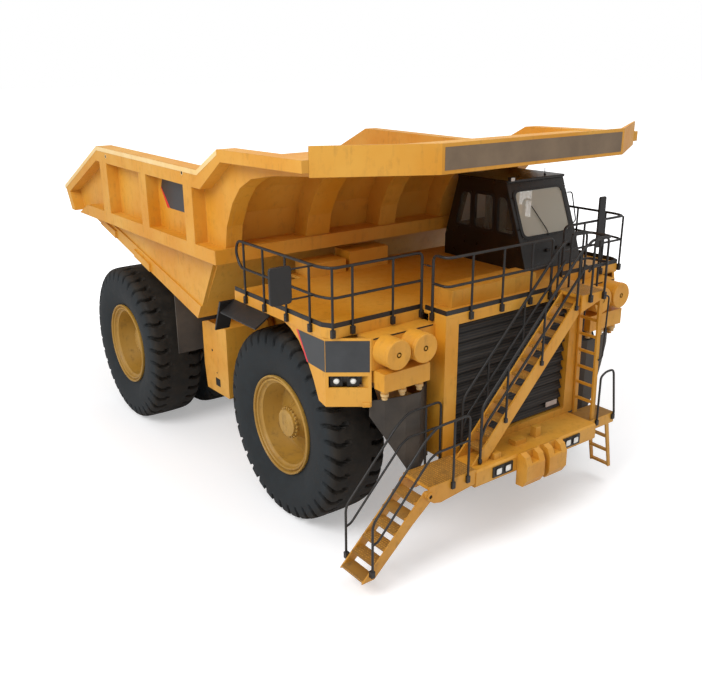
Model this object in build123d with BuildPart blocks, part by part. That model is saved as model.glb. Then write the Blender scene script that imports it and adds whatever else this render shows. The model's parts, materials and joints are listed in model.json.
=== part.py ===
from build123d import *
import math
import os

os.makedirs("parts", exist_ok=True)

# Driving dimensions, in millimetres.
# X runs to the truck's left, Y to its rear, Z up; the ground is z = 0.
# Stations along the truck are given from the front axle, rearward positive.
WHEELBASE = 5905
TYRE_RADIUS = 1735
TYRE_WIDTH = 1140
AXLE_Z = TYRE_RADIUS
FRONT_WHEEL_X = 2805
DUAL_OUTER_X = 3232
DUAL_INNER_X = 1730
HALF_ENVELOPE = 3813
KINGPIN_X = 2000
DECK_Z = 4000
DECK_THICK = 60
BUMPER_Z0 = 1224
BUMPER_Z1 = 1533
HINGE_Y = WHEELBASE + 1345
HINGE_Z = 3050
WALL_OUT = HALF_ENVELOPE - 250
WALL_IN = WALL_OUT - 90
PLAY = 6
SEAT = 0.3
TUBE = 24
POST = 20

# Stations of the main cross planes, from the front axle.
BUMPER_FRONT = -3057
BUMPER_REAR = -2340
RADIATOR_FRONT = -2400
RADIATOR_REAR = -1985
RADIATOR_HALF = 1653
DECK_FRONT = -1830
DECK_REAR = 1032
DECK_SIDE = 3500


def st(y):
    """Station from the front axle turned into the shared frame."""
    return y - WHEELBASE / 2


def pts(points):
    """Side profile points, each a station and a height."""
    return [(st(y), z) for y, z in points]


def box(x0, x1, y0, y1, z0, z1, mode=Mode.ADD):
    """Block between two corners, stations along Y."""
    with Locations(((x0 + x1) / 2, (st(y0) + st(y1)) / 2, (z0 + z1) / 2)):
        Box(abs(x1 - x0), abs(y1 - y0), abs(z1 - z0), mode=mode)


def side_prism(points, x0, x1, mode=Mode.ADD):
    """Side profile of station and height, drawn from x0 to x1."""
    with BuildSketch(Plane.YZ.offset(x0)) as profile:
        with BuildLine():
            Polyline(*pts(points), close=True)
        make_face()
    extrude(profile.sketch, amount=x1 - x0, mode=mode)


def front_prism(points, y0, y1, mode=Mode.ADD):
    """Front profile of x and height, drawn from station y0 to y1."""
    with BuildSketch(Plane.XZ.offset(-st(y0))) as profile:
        with BuildLine():
            Polyline(*points, close=True)
        make_face()
    extrude(profile.sketch, amount=y0 - y1, mode=mode)


def plan_prism(points, z0, z1, mode=Mode.ADD):
    """Plan outline of x and station, drawn from z0 to z1."""
    with BuildSketch(Plane.XY.offset(z0)) as profile:
        with BuildLine():
            Polyline(*[(x, st(y)) for x, y in points], close=True)
        make_face()
    extrude(profile.sketch, amount=z1 - z0, mode=mode)


def disc(radius, sides):
    """Round outline, or a regular one where a number of sides is given."""
    if sides:
        RegularPolygon(radius, sides)
    else:
        Circle(radius)


def bar(a, b, radius, sides=0, mode=Mode.ADD):
    """Straight bar between two points, stations along Y."""
    start = Vector(a[0], st(a[1]), a[2])
    end = Vector(b[0], st(b[1]), b[2])
    run = end - start
    with BuildSketch(Plane(origin=start, z_dir=run.normalized())) as profile:
        disc(radius, sides)
    extrude(profile.sketch, amount=run.length, mode=mode)


RAIL_SIDES = 6


def post(a, b, half=POST):
    """Straight square post, arm or rung between two points, from half its width."""
    start = Vector(a[0], st(a[1]), a[2])
    run = Vector(b[0], st(b[1]), b[2]) - start
    with BuildSketch(Plane(origin=start, z_dir=run.normalized())) as profile:
        Rectangle(2 * half, 2 * half)
    extrude(profile.sketch, amount=run.length)


def rail(points, radius=TUBE):
    """Handrail swept along a row of points, mitred at each bend."""
    route = [Vector(x, st(y), z) for x, y, z in points]
    with BuildLine() as path:
        Polyline(*route)
    with BuildSketch(Plane(origin=route[0], z_dir=(route[1] - route[0]).normalized())) as profile:
        RegularPolygon(radius, RAIL_SIDES)
    sweep(sections=profile.sketch, path=path.wires()[0], transition=Transition.RIGHT)


def drum_x(x0, x1, y, z, radius, sides=0, mode=Mode.ADD):
    """Drum along X between x0 and x1."""
    with BuildSketch(Plane.YZ.offset(x0)) as profile:
        with Locations((st(y), z)):
            disc(radius, sides)
    extrude(profile.sketch, amount=x1 - x0, mode=mode)


def drum_y(y0, y1, x, z, radius, sides=0, mode=Mode.ADD):
    """Drum along Y between two stations."""
    with BuildSketch(Plane.XZ.offset(-st(y0))) as profile:
        with Locations((x, z)):
            disc(radius, sides)
    extrude(profile.sketch, amount=y0 - y1, mode=mode)


def drum_z(z0, z1, x, y, radius, sides=0, mode=Mode.ADD):
    """Upright drum between two heights."""
    with BuildSketch(Plane.XY.offset(z0)) as profile:
        with Locations((x, st(y))):
            disc(radius, sides)
    extrude(profile.sketch, amount=z1 - z0, mode=mode)


def save(part, name):
    """Label a finished piece and write its file."""
    part.label = name
    export_step(part, f"parts/{name}.step")


def both(part):
    """The piece and its mirror image across the truck's middle plane."""
    return Compound(children=[*part.solids(), *part.mirror(Plane.YZ).solids()])


# Main frame: two box rails, cross members, strut towers and hinge ears.
RAIL_X0 = 620
RAIL_X1 = 950
FRAME_TOP = 2850
FRAME_REAR = WHEELBASE + 1545
RAIL_SIDE = [
    (BUMPER_REAR, 1260), (BUMPER_REAR, BUMPER_Z1), (-1975, BUMPER_Z1), (-1975, 2000),
    (1900, 2000), (WHEELBASE - 2405, FRAME_TOP), (FRAME_REAR, FRAME_TOP), (FRAME_REAR, 2350),
    (WHEELBASE - 1605, 2250), (WHEELBASE - 3305, 1500), (1900, 1260),
]
EAR_T = 60
PIN_R = 90
PIN_HEAD = 30
STRUT_R = 190
TURNED = 10
TOWER_HALF = 300
HOIST_X = 1075
HOIST_R = 115
EYE_HALF = 80
LOW_PIN_R = 60
LOW_PIN = (WHEELBASE - 2355, 1050)
TOP_PIN = (WHEELBASE - 1305, 3400)
with BuildPart() as chassis_frame:
    for s in (1, -1):
        side_prism(RAIL_SIDE, s * RAIL_X0, s * RAIL_X1)
        box(s * RAIL_X0, s * RAIL_X1, -TOWER_HALF, TOWER_HALF, 2000, 3300)
        box(s * RAIL_X1, s * KINGPIN_X, -TOWER_HALF / 2, TOWER_HALF / 2, 2900, 3300)
        box(s * RAIL_X1, s * KINGPIN_X, -TOWER_HALF / 2, TOWER_HALF / 2, 2560, 2760)
        for x0 in (RAIL_X0 - EAR_T, RAIL_X1):
            side_prism([(HINGE_Y - 200, 2600), (HINGE_Y - 140, 3100), (HINGE_Y - 70, 3190), (HINGE_Y + 70, 3190),
                        (HINGE_Y + 140, 3100), (HINGE_Y + 200, 2600)], s * x0, s * (x0 + EAR_T))
        side_prism([(LOW_PIN[0] - 170, 1700), (LOW_PIN[0] - 120, 950), (LOW_PIN[0] + 120, 950),
                    (LOW_PIN[0] + 170, 2100)], s * (RAIL_X1 - 80), s * RAIL_X1)
        drum_x(s * RAIL_X1, s * (HOIST_X + 62), LOW_PIN[0], LOW_PIN[1], LOW_PIN_R)
    box(-RAIL_X0, RAIL_X0, BUMPER_REAR, -2100, 1260, BUMPER_Z1)
    box(-RAIL_X0, RAIL_X0, WHEELBASE - 3205, WHEELBASE - 2805, 1950, 2350)
    box(-RAIL_X0, RAIL_X0, WHEELBASE + 845, FRAME_REAR, 2350, 2650)
    for s in (1, -1):
        pin_in = RAIL_X0 - EAR_T - 20
        pin_out = RAIL_X1 + EAR_T
        drum_x(s * pin_in, s * (pin_out + 20), HINGE_Y, HINGE_Z, PIN_R)
        for x in (pin_in, pin_out):
            drum_x(s * x, s * (x + 20), HINGE_Y, HINGE_Z, PIN_R + PIN_HEAD, TURNED)
        drum_z(2550, 3310, s * KINGPIN_X, 0, STRUT_R, TURNED, mode=Mode.SUBTRACT)
save(chassis_frame.part, "chassis_frame")

# Front struts stand in the towers and carry the knuckles.
STRUT_TOP = 3420
STRUT_LOW = 2180
ROD_R = 130
ROD_FOOT = 1240
with BuildPart() as strut_right:
    drum_z(STRUT_LOW, STRUT_TOP, -KINGPIN_X, 0, STRUT_R, TURNED)
    drum_z(ROD_FOOT, STRUT_LOW, -KINGPIN_X, 0, ROD_R)

# Engine as one plain block between the rails.
with BuildPart() as engine:
    box(-560, 560, -1650, 1500, 1560, 3250)
    for y in (-1300, 1100):
        box(-RAIL_X0, RAIL_X0, y, y + 200, 1700, 1900)
save(engine.part, "engine")

# Bumper beam with small boxes on top, each a centre x, station, width, depth and height.
BUMPER_HALF = 1505
BUMPER_BOXES = ((-920, -2879, 160, 150, 100), (-212, -2736, 260, 160, 90), (244, -2735, 130, 120, 190))
with BuildPart() as bumper:
    box(-BUMPER_HALF, BUMPER_HALF, BUMPER_FRONT, BUMPER_REAR, BUMPER_Z0, BUMPER_Z1)
    chamfer(bumper.edges().filter_by(Axis.X).sort_by(Axis.Y)[0:2], length=30)
    for x, y, w, d, h in BUMPER_BOXES:
        box(x - w / 2, x + w / 2, y - d / 2, y + d / 2, BUMPER_Z1, BUMPER_Z1 + h)
save(bumper.part, "front_bumper")

# Tow hooks: two double ears in front of the bumper.
HOOK_SIDE = [
    (BUMPER_FRONT, 990), (BUMPER_FRONT, 1560), (BUMPER_FRONT - 73, 1590), (BUMPER_FRONT - 173, 1540),
    (BUMPER_FRONT - 233, 1400), (BUMPER_FRONT - 233, 1130), (BUMPER_FRONT - 153, 1000),
]
HOOKS = ((-560, -120), (0, 440))
HOOK_EAR = 130
with BuildPart() as tow_hooks:
    for x0, x1 in HOOKS:
        side_prism(HOOK_SIDE, x0, x1)
        box(x0 + HOOK_EAR, x1 - HOOK_EAR, BUMPER_FRONT - 300, BUMPER_FRONT - 60, 1430, 1700, mode=Mode.SUBTRACT)
save(tow_hooks.part, "tow_hooks")

# Radiator housing: a deep frame with the grille inside.
OPEN_HALF = RADIATOR_HALF - 275
OPEN_Z0 = 1650
OPEN_Z1 = 3816
HOUSING_TOP = DECK_Z - DECK_THICK
with BuildPart() as radiator_housing:
    box(-RADIATOR_HALF, RADIATOR_HALF, RADIATOR_FRONT, RADIATOR_REAR, BUMPER_Z1, HOUSING_TOP)
    box(-OPEN_HALF, OPEN_HALF, RADIATOR_FRONT, RADIATOR_REAR, OPEN_Z0, OPEN_Z1, mode=Mode.SUBTRACT)
save(radiator_housing.part, "radiator_housing")

GRILLE_FRONT = RADIATOR_FRONT + 66
GRILLE_CORE = GRILLE_FRONT + 70
GRILLE_REAR = RADIATOR_FRONT + 250
SLATS = 12
with BuildPart() as grille:
    box(-OPEN_HALF, OPEN_HALF, GRILLE_CORE, GRILLE_REAR, OPEN_Z0, OPEN_Z1)
    slat_pitch = (OPEN_Z1 - OPEN_Z0) / SLATS
    for i in range(SLATS):
        z = OPEN_Z0 + i * slat_pitch
        side_prism([(GRILLE_CORE, z + 10), (GRILLE_FRONT, z + 30), (GRILLE_FRONT + 10, z + 60),
                    (GRILLE_CORE, z + slat_pitch - 20)], -OPEN_HALF + 20, OPEN_HALF - 20)
save(grille.part, "radiator_grille")

# Decks, with a folded edge that hangs down as a fascia.
FASCIA_Z = 3829
EDGE_T = 60
CORNER_X = DECK_SIDE - 100
CORNER_Y = DECK_FRONT + 190
WALK_REAR = 1450
WALK_X = 2100
with BuildPart() as deck_right:
    plan_prism([(-RADIATOR_HALF, DECK_FRONT), (-CORNER_X, DECK_FRONT), (-DECK_SIDE, CORNER_Y),
                (-DECK_SIDE, DECK_REAR), (-WALK_X, DECK_REAR), (-WALK_X, WALK_REAR),
                (-RADIATOR_HALF, WALK_REAR)], FASCIA_Z, DECK_Z)
    plan_prism([(-RADIATOR_HALF - EDGE_T, DECK_FRONT + EDGE_T), (-CORNER_X + 30, DECK_FRONT + EDGE_T),
                (-DECK_SIDE + EDGE_T, CORNER_Y + 30), (-DECK_SIDE + EDGE_T, DECK_REAR - EDGE_T),
                (-WALK_X - EDGE_T, DECK_REAR - EDGE_T), (-WALK_X - EDGE_T, WALK_REAR - EDGE_T),
                (-RADIATOR_HALF - EDGE_T, WALK_REAR - EDGE_T)], FASCIA_Z, HOUSING_TOP, mode=Mode.SUBTRACT)

LOW_BOX = (-1275, 700, -2126, -1640, DECK_Z, 4280)
with BuildPart() as decks:
    add(deck_right.part)
    add(deck_right.part.mirror(Plane.YZ))
    box(-RADIATOR_HALF, RADIATOR_HALF, RADIATOR_FRONT, WALK_REAR, HOUSING_TOP, DECK_Z)
    box(-RADIATOR_HALF, RADIATOR_HALF, WALK_REAR - EDGE_T, WALK_REAR, FASCIA_Z, DECK_Z)
    box(*LOW_BOX)
save(decks.part, "decks")

# Deck supports: uprights on the frame rails and a cross beam under the decks.
BEAM_Z = 3640
with BuildPart() as deck_supports:
    for s in (1, -1):
        box(s * 680, s * 890, 880, 1130, 2000, FASCIA_Z)
        box(s * (RADIATOR_HALF - 63), s * (DECK_SIDE - 200), 700, 900, BEAM_Z, FASCIA_Z)
        box(s * 1400, s * (RADIATOR_HALF - 63), 700, 1130, BEAM_Z, HOUSING_TOP)
        box(s * 680, s * (RADIATOR_HALF - 63), 880, 1130, BEAM_Z, FASCIA_Z)
    box(-RADIATOR_HALF + 63, RADIATOR_HALF - 63, 880, 1130, FASCIA_Z, HOUSING_TOP)
save(deck_supports.part, "deck_supports")

# Equipment boxes at the back of the right deck.
with BuildPart() as deck_boxes:
    box(-1990, -1172, 905, 1400, DECK_Z, 4255)
    box(-1075, -155, 905, 1400, DECK_Z, 4370)
save(deck_boxes.part, "deck_boxes")

# Kick plates round the decks.
KICK_Z = DECK_Z + 75
KICK_T = 12
with BuildPart() as kick_plates:
    for s in (1, -1):
        box(s * DECK_SIDE, s * (DECK_SIDE - KICK_T), CORNER_Y, DECK_REAR - 20, DECK_Z, KICK_Z)
        plan_prism([(s * DECK_SIDE, CORNER_Y), (s * CORNER_X, DECK_FRONT),
                    (s * (CORNER_X - KICK_T), DECK_FRONT + KICK_T), (s * (DECK_SIDE - KICK_T), CORNER_Y)],
                   DECK_Z, KICK_Z)
        box(s * CORNER_X, s * 1700, DECK_FRONT, DECK_FRONT + KICK_T, DECK_Z, KICK_Z)
    box(-RADIATOR_HALF, 790, RADIATOR_FRONT, RADIATOR_FRONT + KICK_T, DECK_Z, KICK_Z)
    box(-RADIATOR_HALF, -RADIATOR_HALF + KICK_T, RADIATOR_FRONT, -1900, DECK_Z, KICK_Z)
save(kick_plates.part, "kick_plates")

# Handrail of the right deck, its posts clamped to the fascia.
RAIL_TOP = DECK_Z + 925
RAIL_MID = DECK_Z + 470
FOOT_Z = DECK_Z - 120
CLAMP_Z0 = DECK_Z - 140
CLAMP_Z1 = DECK_Z - 10
CLAMP_HALF = 35
RX = -DECK_SIDE - POST
FY = DECK_FRONT - POST
CORNER_POST_X = CORNER_X + 30
CORNER_TURN_Y = CORNER_Y + 20
with BuildPart() as handrails_right:
    for z, rear in ((RAIL_TOP, 760), (RAIL_MID, 700)):
        rail([(RX, rear, z), (RX, CORNER_TURN_Y, z), (-CORNER_POST_X, FY, z), (-1690, FY, z)])
    rail([(RX, 760, RAIL_TOP), (RX, 860, RAIL_TOP - 225), (RX, 700, RAIL_MID)])
    for y in (598, -26, -705, -1378):
        post((RX, y, FOOT_Z), (RX, y, RAIL_TOP))
        box(RX - 30, -DECK_SIDE, y - CLAMP_HALF, y + CLAMP_HALF, CLAMP_Z0, CLAMP_Z1)
    for x, radius in ((-CORNER_POST_X, POST + 4), (-3060, POST), (-2280, POST), (-1690, POST)):
        post((x, FY, FOOT_Z), (x, FY, RAIL_TOP), radius)
        box(x - CLAMP_HALF, x + CLAMP_HALF, FY - 30, DECK_FRONT, CLAMP_Z0, CLAMP_Z1)
save(handrails_right.part, "handrails_right")

# Handrail over the radiator: it turns the corner without a post.
CY = RADIATOR_FRONT - POST
CX = -RADIATOR_HALF - POST
with BuildPart() as handrails_centre:
    for z in (RAIL_TOP, RAIL_MID):
        rail([(CX, -2094, z), (CX, CY + 110, z), (CX + 110, CY, z), (745, CY, z)])
    for x in (-1132, -434, 245, 745):
        post((x, CY, FOOT_Z), (x, CY, RAIL_TOP))
        box(x - CLAMP_HALF, x + CLAMP_HALF, CY - 30, RADIATOR_FRONT, CLAMP_Z0, CLAMP_Z1)
    post((CX, -2094, FOOT_Z), (CX, -2094, RAIL_TOP))
    box(CX - 30, -RADIATOR_HALF, -2094 - CLAMP_HALF, -2094 + CLAMP_HALF, CLAMP_Z0, CLAMP_Z1)
save(handrails_centre.part, "handrails_centre")

# Handrails of the left deck and the landing at the stair top.
LANDING_FRONT = -2950
LANDING_X0 = 950
LANDING_X1 = 1560
LX = DECK_SIDE + POST
with BuildPart() as handrails_left:
    for z in (RAIL_TOP, RAIL_MID):
        rail([(1720, FY, z), (CORNER_POST_X, FY, z), (LX, CORNER_TURN_Y, z), (LX, 760, z)])
    for y in (725, 60, -700, -1378):
        post((LX, y, FOOT_Z), (LX, y, RAIL_TOP))
        box(DECK_SIDE, LX + 30, y - CLAMP_HALF, y + CLAMP_HALF, CLAMP_Z0, CLAMP_Z1)
    for x, radius in ((1720, POST), (2280, POST), (2860, POST), (CORNER_POST_X, POST + 4)):
        post((x, FY, FOOT_Z), (x, FY, RAIL_TOP), radius)
        box(x - CLAMP_HALF, x + CLAMP_HALF, FY - 30, DECK_FRONT, CLAMP_Z0, CLAMP_Z1)

LANDING_POSTS = (LANDING_X0 + 190, LANDING_X1 - 60)
with BuildPart() as landing_rails:
    landing_y = LANDING_FRONT - POST
    for x in LANDING_POSTS:
        post((x, landing_y, FOOT_Z), (x, landing_y, RAIL_TOP))
        box(x - CLAMP_HALF, x + CLAMP_HALF, landing_y - 30, LANDING_FRONT, CLAMP_Z0, CLAMP_Z1)
    for z in (RAIL_TOP, RAIL_MID):
        rail([(LANDING_POSTS[0], landing_y, z), (LANDING_POSTS[1], landing_y, z)])
save(Compound(children=[*handrails_left.part.solids(), *landing_rails.part.solids()]), "handrails_left")

# Main stair from the bumper to the landing.
STAIR_Y0 = LANDING_FRONT + 50
STAIR_Y1 = RADIATOR_FRONT - 100
STRINGER_T = 30
STAIR_FOOT = -1452
STRINGER_RUN = 330
TREADS = 11
TREAD_RUN = 230
TREAD_T = 45
STAIR_RISE = DECK_Z - BUMPER_Z1
STAIR_LEN = LANDING_X0 - STAIR_FOOT
STAIR_SLOPE = STAIR_RISE / STAIR_LEN
with BuildPart() as main_stair:
    for y in (STAIR_Y0, STAIR_Y1 - STRINGER_T):
        front_prism([(STAIR_FOOT, BUMPER_Z1), (STAIR_FOOT + STRINGER_RUN, BUMPER_Z1),
                     (LANDING_X0, DECK_Z - STRINGER_RUN * STAIR_SLOPE), (LANDING_X0, DECK_Z)],
                    y, y + STRINGER_T)
    for i in range(1, TREADS + 1):
        z = BUMPER_Z1 + STAIR_RISE * i / (TREADS + 1)
        x = STAIR_FOOT + STAIR_LEN * i / (TREADS + 1) + 40
        box(x, x + TREAD_RUN, STAIR_Y0 + STRINGER_T, STAIR_Y1 - STRINGER_T, z - TREAD_T, z)
    box(LANDING_X0, LANDING_X1, LANDING_FRONT, RADIATOR_FRONT, HOUSING_TOP, DECK_Z)
    front_prism([(LANDING_X0, HOUSING_TOP), (LANDING_X1, HOUSING_TOP), (LANDING_X1, 3880), (LANDING_X0, 3700)],
                LANDING_FRONT, LANDING_FRONT + 30)
    for x in (LANDING_X0 + 130, LANDING_X1 - 140):
        side_prism([(RADIATOR_FRONT, HOUSING_TOP), (LANDING_FRONT + 30, HOUSING_TOP), (RADIATOR_FRONT, 3600)],
                   x, x + 25)
save(main_stair.part, "main_stair")

# Stair handrails, clamped to the stringers' outer faces.
STAIR_POSTS = (-1300, -740, 60, 850)
with BuildPart() as stair_rails:
    for y, face in ((STAIR_Y0 - POST, STAIR_Y0), (STAIR_Y1 + POST, STAIR_Y1)):
        for x in STAIR_POSTS:
            nosing = BUMPER_Z1 + (x - STAIR_FOOT) * STAIR_SLOPE
            post((x, y, nosing - 120), (x, y, nosing + 860))
            box(x - 30, x + 30, min(y, face), max(y, face), nosing - 140, nosing - 60)
        for lift in (430, 860):
            a = BUMPER_Z1 + (STAIR_POSTS[0] - STAIR_FOOT) * STAIR_SLOPE + lift
            b = BUMPER_Z1 + (STAIR_POSTS[-1] - STAIR_FOOT) * STAIR_SLOPE + lift
            rail([(STAIR_POSTS[0], y, a), (STAIR_POSTS[-1], y, b)])

# Access platform beside the bumper and the stair below it.
PLAT_TOP = 1560
PLAT_Y0 = -3040
PLAT_Y1 = -2410
PLAT_END = -2500
LOW_FOOT_X = -3780
LOW_FOOT_Z = 345
LOW_TREADS = 6
LOW_Y0 = PLAT_Y0 + 30
LOW_Y1 = PLAT_Y1 - 30
with BuildPart() as access_steps:
    box(PLAT_END, -BUMPER_HALF, PLAT_Y0, PLAT_Y1, PLAT_TOP - 50, PLAT_TOP)
    for y in (PLAT_Y0, PLAT_Y1 - 30):
        front_prism([(-BUMPER_HALF, PLAT_TOP - 50), (-BUMPER_HALF, 1300), (-1650, 1290), (-2250, 1225),
                     (-2400, 1260), (-2540, 1360), (-2590, 1440), (-2560, 1500), (PLAT_END, PLAT_TOP - 50)],
                    y, y + 30)
    for y in (LOW_Y0, LOW_Y1 - 25):
        front_prism([(LOW_FOOT_X, LOW_FOOT_Z), (-3550, LOW_FOOT_Z), (-2800, 1010), (-2440, 1290), (-2420, 1480),
                     (-2560, 1500)], y, y + 25)
    for i in range(LOW_TREADS):
        z = LOW_FOOT_Z + 50 + i * 195
        x = LOW_FOOT_X + 20 + i * 200
        box(x, x + TREAD_RUN, LOW_Y0 + 25, LOW_Y1 - 25, z - TREAD_T, z)
save(access_steps.part, "access_steps")

# Its handrails, one on each side: a long rail, a middle rail and one more post.
HAND_X = -RADIATOR_HALF - 47
HAND_TOP = PLAT_TOP + 1000
HAND_FOOT = LOW_FOOT_X + 160
with BuildPart() as access_rails:
    for y, plat_face, low_face, out in ((PLAT_Y0 - POST, PLAT_Y0, LOW_Y0, -25),
                                        (PLAT_Y1 + POST, PLAT_Y1, LOW_Y1, 25)):
        rail([(HAND_FOOT, y, 470), (HAND_FOOT, y, 1330), (-2620, y, 2400), (-2380, y, HAND_TOP),
              (HAND_X, y, HAND_TOP + 20), (HAND_X, y, 1450)], POST)
        rail([(HAND_FOOT, y, 980), (HAND_FOOT + 100, y, 1010), (-2520, y, 2060), (-2380, y, 2130),
              (HAND_X, y, 2140)], POST)
        post((HAND_X - 320, y, 1450), (HAND_X - 320, y, HAND_TOP + 8))
        for x in (HAND_X, HAND_X - 320):
            box(x - CLAMP_HALF, x + CLAMP_HALF, y + out, plat_face, 1400, 1520)
        box(HAND_FOOT - CLAMP_HALF, HAND_FOOT + CLAMP_HALF, y + out, low_face, 430, 540)

# Left ladder, its small platform and the hanging steps below.
SMALL_Z = 1500
SMALL_X1 = 2270
SMALL_Y0 = -2880
SMALL_Y1 = -2395
LADDER_RUNGS = 7
with BuildPart() as left_ladder:
    for y in (-2450, -2850):
        front_prism([(1640, SMALL_Z), (1730, SMALL_Z), (LANDING_X1 + 90, DECK_Z), (LANDING_X1, DECK_Z)], y, y + 40)
    for i in range(LADDER_RUNGS):
        z = 1820 + i * 315
        x = 1685 - 85 * (z - SMALL_Z) / (DECK_Z - SMALL_Z)
        post((x, -2830, z), (x, -2430, z), 22)
    box(BUMPER_HALF, SMALL_X1, SMALL_Y0, SMALL_Y1, SMALL_Z - 50, SMALL_Z)
    for y in (SMALL_Y0, SMALL_Y1 - 30):
        box(BUMPER_HALF, SMALL_X1, y, y + 30, SMALL_Z - 200, SMALL_Z - 50)
    box(SMALL_X1 - 30, SMALL_X1, SMALL_Y0 + 30, SMALL_Y1 - 30, SMALL_Z - 120, SMALL_Z - 50)
    for y in (SMALL_Y0 + 30, SMALL_Y1 - 60):
        front_prism([(2060, SMALL_Z - 50), (2150, SMALL_Z - 50), (2370, 330), (2300, 330)], y, y + 30)
    for z in (370, 680, 990, 1300):
        x = 2330 - (z - 330) * 230 / 1120
        box(x - 30, x + 40, SMALL_Y0 + 60, SMALL_Y1 - 60, z - 20, z + 20)
save(left_ladder.part, "left_ladder")

with BuildPart() as ladder_loop:
    loop_y = SMALL_Y0 - POST
    rail([(1740, loop_y, 1430), (1740, loop_y, 2330), (1880, loop_y, 2400), (2060, loop_y, 2400),
          (2110, loop_y, 2340), (2240, loop_y, 1480), (2200, loop_y, 1420)], POST)
    for x in (1740, 2210):
        box(x - CLAMP_HALF, x + CLAMP_HALF, loop_y - 25, SMALL_Y0, SMALL_Z - 120, SMALL_Z - 20)
step_rails = [*stair_rails.part.solids(), *access_rails.part.solids(), *ladder_loop.part.solids()]
save(Compound(children=step_rails), "step_rails")

# Fender, right: slanted front panel with lamp recess, side panel and top plate.
FA = (-DECK_SIDE + 10, -1715)
FB = (-2925, -2145)
FEND_Z0 = 2720
FEND_T = 40
LAMP_Z0 = 3033
LAMP_Z1 = 3224
fend_dir = Vector(FB[0] - FA[0], FB[1] - FA[1], 0).normalized()
fend_len = math.hypot(FB[0] - FA[0], FB[1] - FA[1])
fend_plane = Plane(origin=(FA[0], st(FA[1]), FEND_Z0), x_dir=fend_dir, z_dir=(fend_dir.Y, -fend_dir.X, 0))
with BuildPart() as fender_right:
    side_prism([(FA[1], FASCIA_Z), (-560, FASCIA_Z), (-760, 3760), (-1000, 3610), (-1246, 3322), (-1400, 3060),
                (-1526, 2768), (FA[1], FEND_Z0)], FA[0], FA[0] + FEND_T)
    with BuildSketch(fend_plane):
        with Locations((fend_len / 2, (FASCIA_Z - FEND_Z0) / 2)):
            Rectangle(fend_len, FASCIA_Z - FEND_Z0)
        with Locations((fend_len / 2, (LAMP_Z0 + LAMP_Z1) / 2 - FEND_Z0)):
            Rectangle(fend_len * 0.86, LAMP_Z1 - LAMP_Z0, mode=Mode.SUBTRACT)
    extrude(amount=-FEND_T)
    plan_prism([FA, FB, (FB[0], DECK_FRONT), (-CORNER_X, DECK_FRONT), (FA[0], CORNER_Y - 20)],
               FASCIA_Z - 30, FASCIA_Z)
    box(FB[0] - FEND_T, FB[0], FB[1] + 30, DECK_FRONT, FEND_Z0, FASCIA_Z)
    box(FB[0], FB[0] + 60, -2250, DECK_FRONT, FEND_Z0, FASCIA_Z, mode=Mode.SUBTRACT)
save(both(fender_right.part), "fenders")

# Air cleaners: duct box, two round canisters, lower box and dust valves.
CANISTERS = ((-2681, 3610), (-2150, 3606))
CAN_R = 232
CAN_SIDES = 12
VALVE_SIDES = 6
DUCT_Y = -2150
with BuildPart() as air_cleaners_right:
    box(FB[0], -RADIATOR_HALF, DUCT_Y, DECK_FRONT, 3310, FASCIA_Z)
    for x, z in CANISTERS:
        drum_y(DUCT_Y - 350, DUCT_Y, x, z, CAN_R, CAN_SIDES)
    box(-2879, -1964, DUCT_Y - 250, DUCT_Y, 3011, 3310)
    box(-2879, -1964, DUCT_Y, -1900, 3100, 3310)
    for x in (-2780, -2430, -2080):
        drum_z(2900, 3011, x, DUCT_Y - 130, 62, VALVE_SIDES)
        drum_z(2850, 2900, x, DUCT_Y - 130, 40, VALVE_SIDES)
save(both(air_cleaners_right.part), "air_cleaners")

# Rubber guards round the front of the tyre's sweep.
with BuildPart() as guard_right:
    plan_prism([(-RADIATOR_HALF + 53, RADIATOR_REAR), (-RADIATOR_HALF, RADIATOR_REAR), (-2063, -2299),
                (-2350, -2284), (-2700, -2184), (FB[0], -2097), (FB[0], -2079), (-2700, -2168),
                (-2350, -2268), (-2063, -2283), (-RADIATOR_HALF - 7, RADIATOR_REAR + 14),
                (-RADIATOR_HALF + 53, RADIATOR_REAR + 14)], 1420, 2800)
    front_prism([(-3000, 2900), (-3000, 1400), (-2250, 1400), (-2940, 2560), (-2940, 2900)], -2400, -1900,
                mode=Mode.SUBTRACT)
save(both(guard_right.part), "splash_guards")

# Visors over the rear of the front tyres.
with BuildPart() as visor_right:
    front_prism([(-DECK_SIDE, FASCIA_Z), (-DECK_SIDE, FASCIA_Z - 30), (-DECK_SIDE - 280, 3620),
                 (-DECK_SIDE - 295, 3648)], -150, 1050)
    side_prism([(1050, FASCIA_Z), (1050, FASCIA_Z - 30), (1290, 3250), (1320, 3265), (1085, FASCIA_Z)],
               -DECK_SIDE - 285, -DECK_SIDE)
save(both(visor_right.part), "visors")

# Tanks hang on the frame rails behind the front wheels.
TANK_X0 = 2150
TANK_X1 = 3100
with BuildPart() as hydraulic_tank:
    side_prism([(2240, 2880), (2240, 1420), (3180, 1395), (3250, 1900), (3250, 2800), (3000, 2880)],
               -TANK_X1, -TANK_X0)
    box(-TANK_X0, -RAIL_X1, 2500, 3000, 1650, 2150)

with BuildPart() as fuel_tank:
    side_prism([(2300, 2700), (2240, 2500), (2240, 1600), (2300, 1400), (3250, 1400), (3310, 1600), (3310, 2500),
                (3250, 2700)], TANK_X0, TANK_X1)
    box(RAIL_X1, TANK_X0, 2500, 3000, 1650, 2150)
save(Compound(children=[*hydraulic_tank.part.solids(), *fuel_tank.part.solids()]), "tanks")

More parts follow.
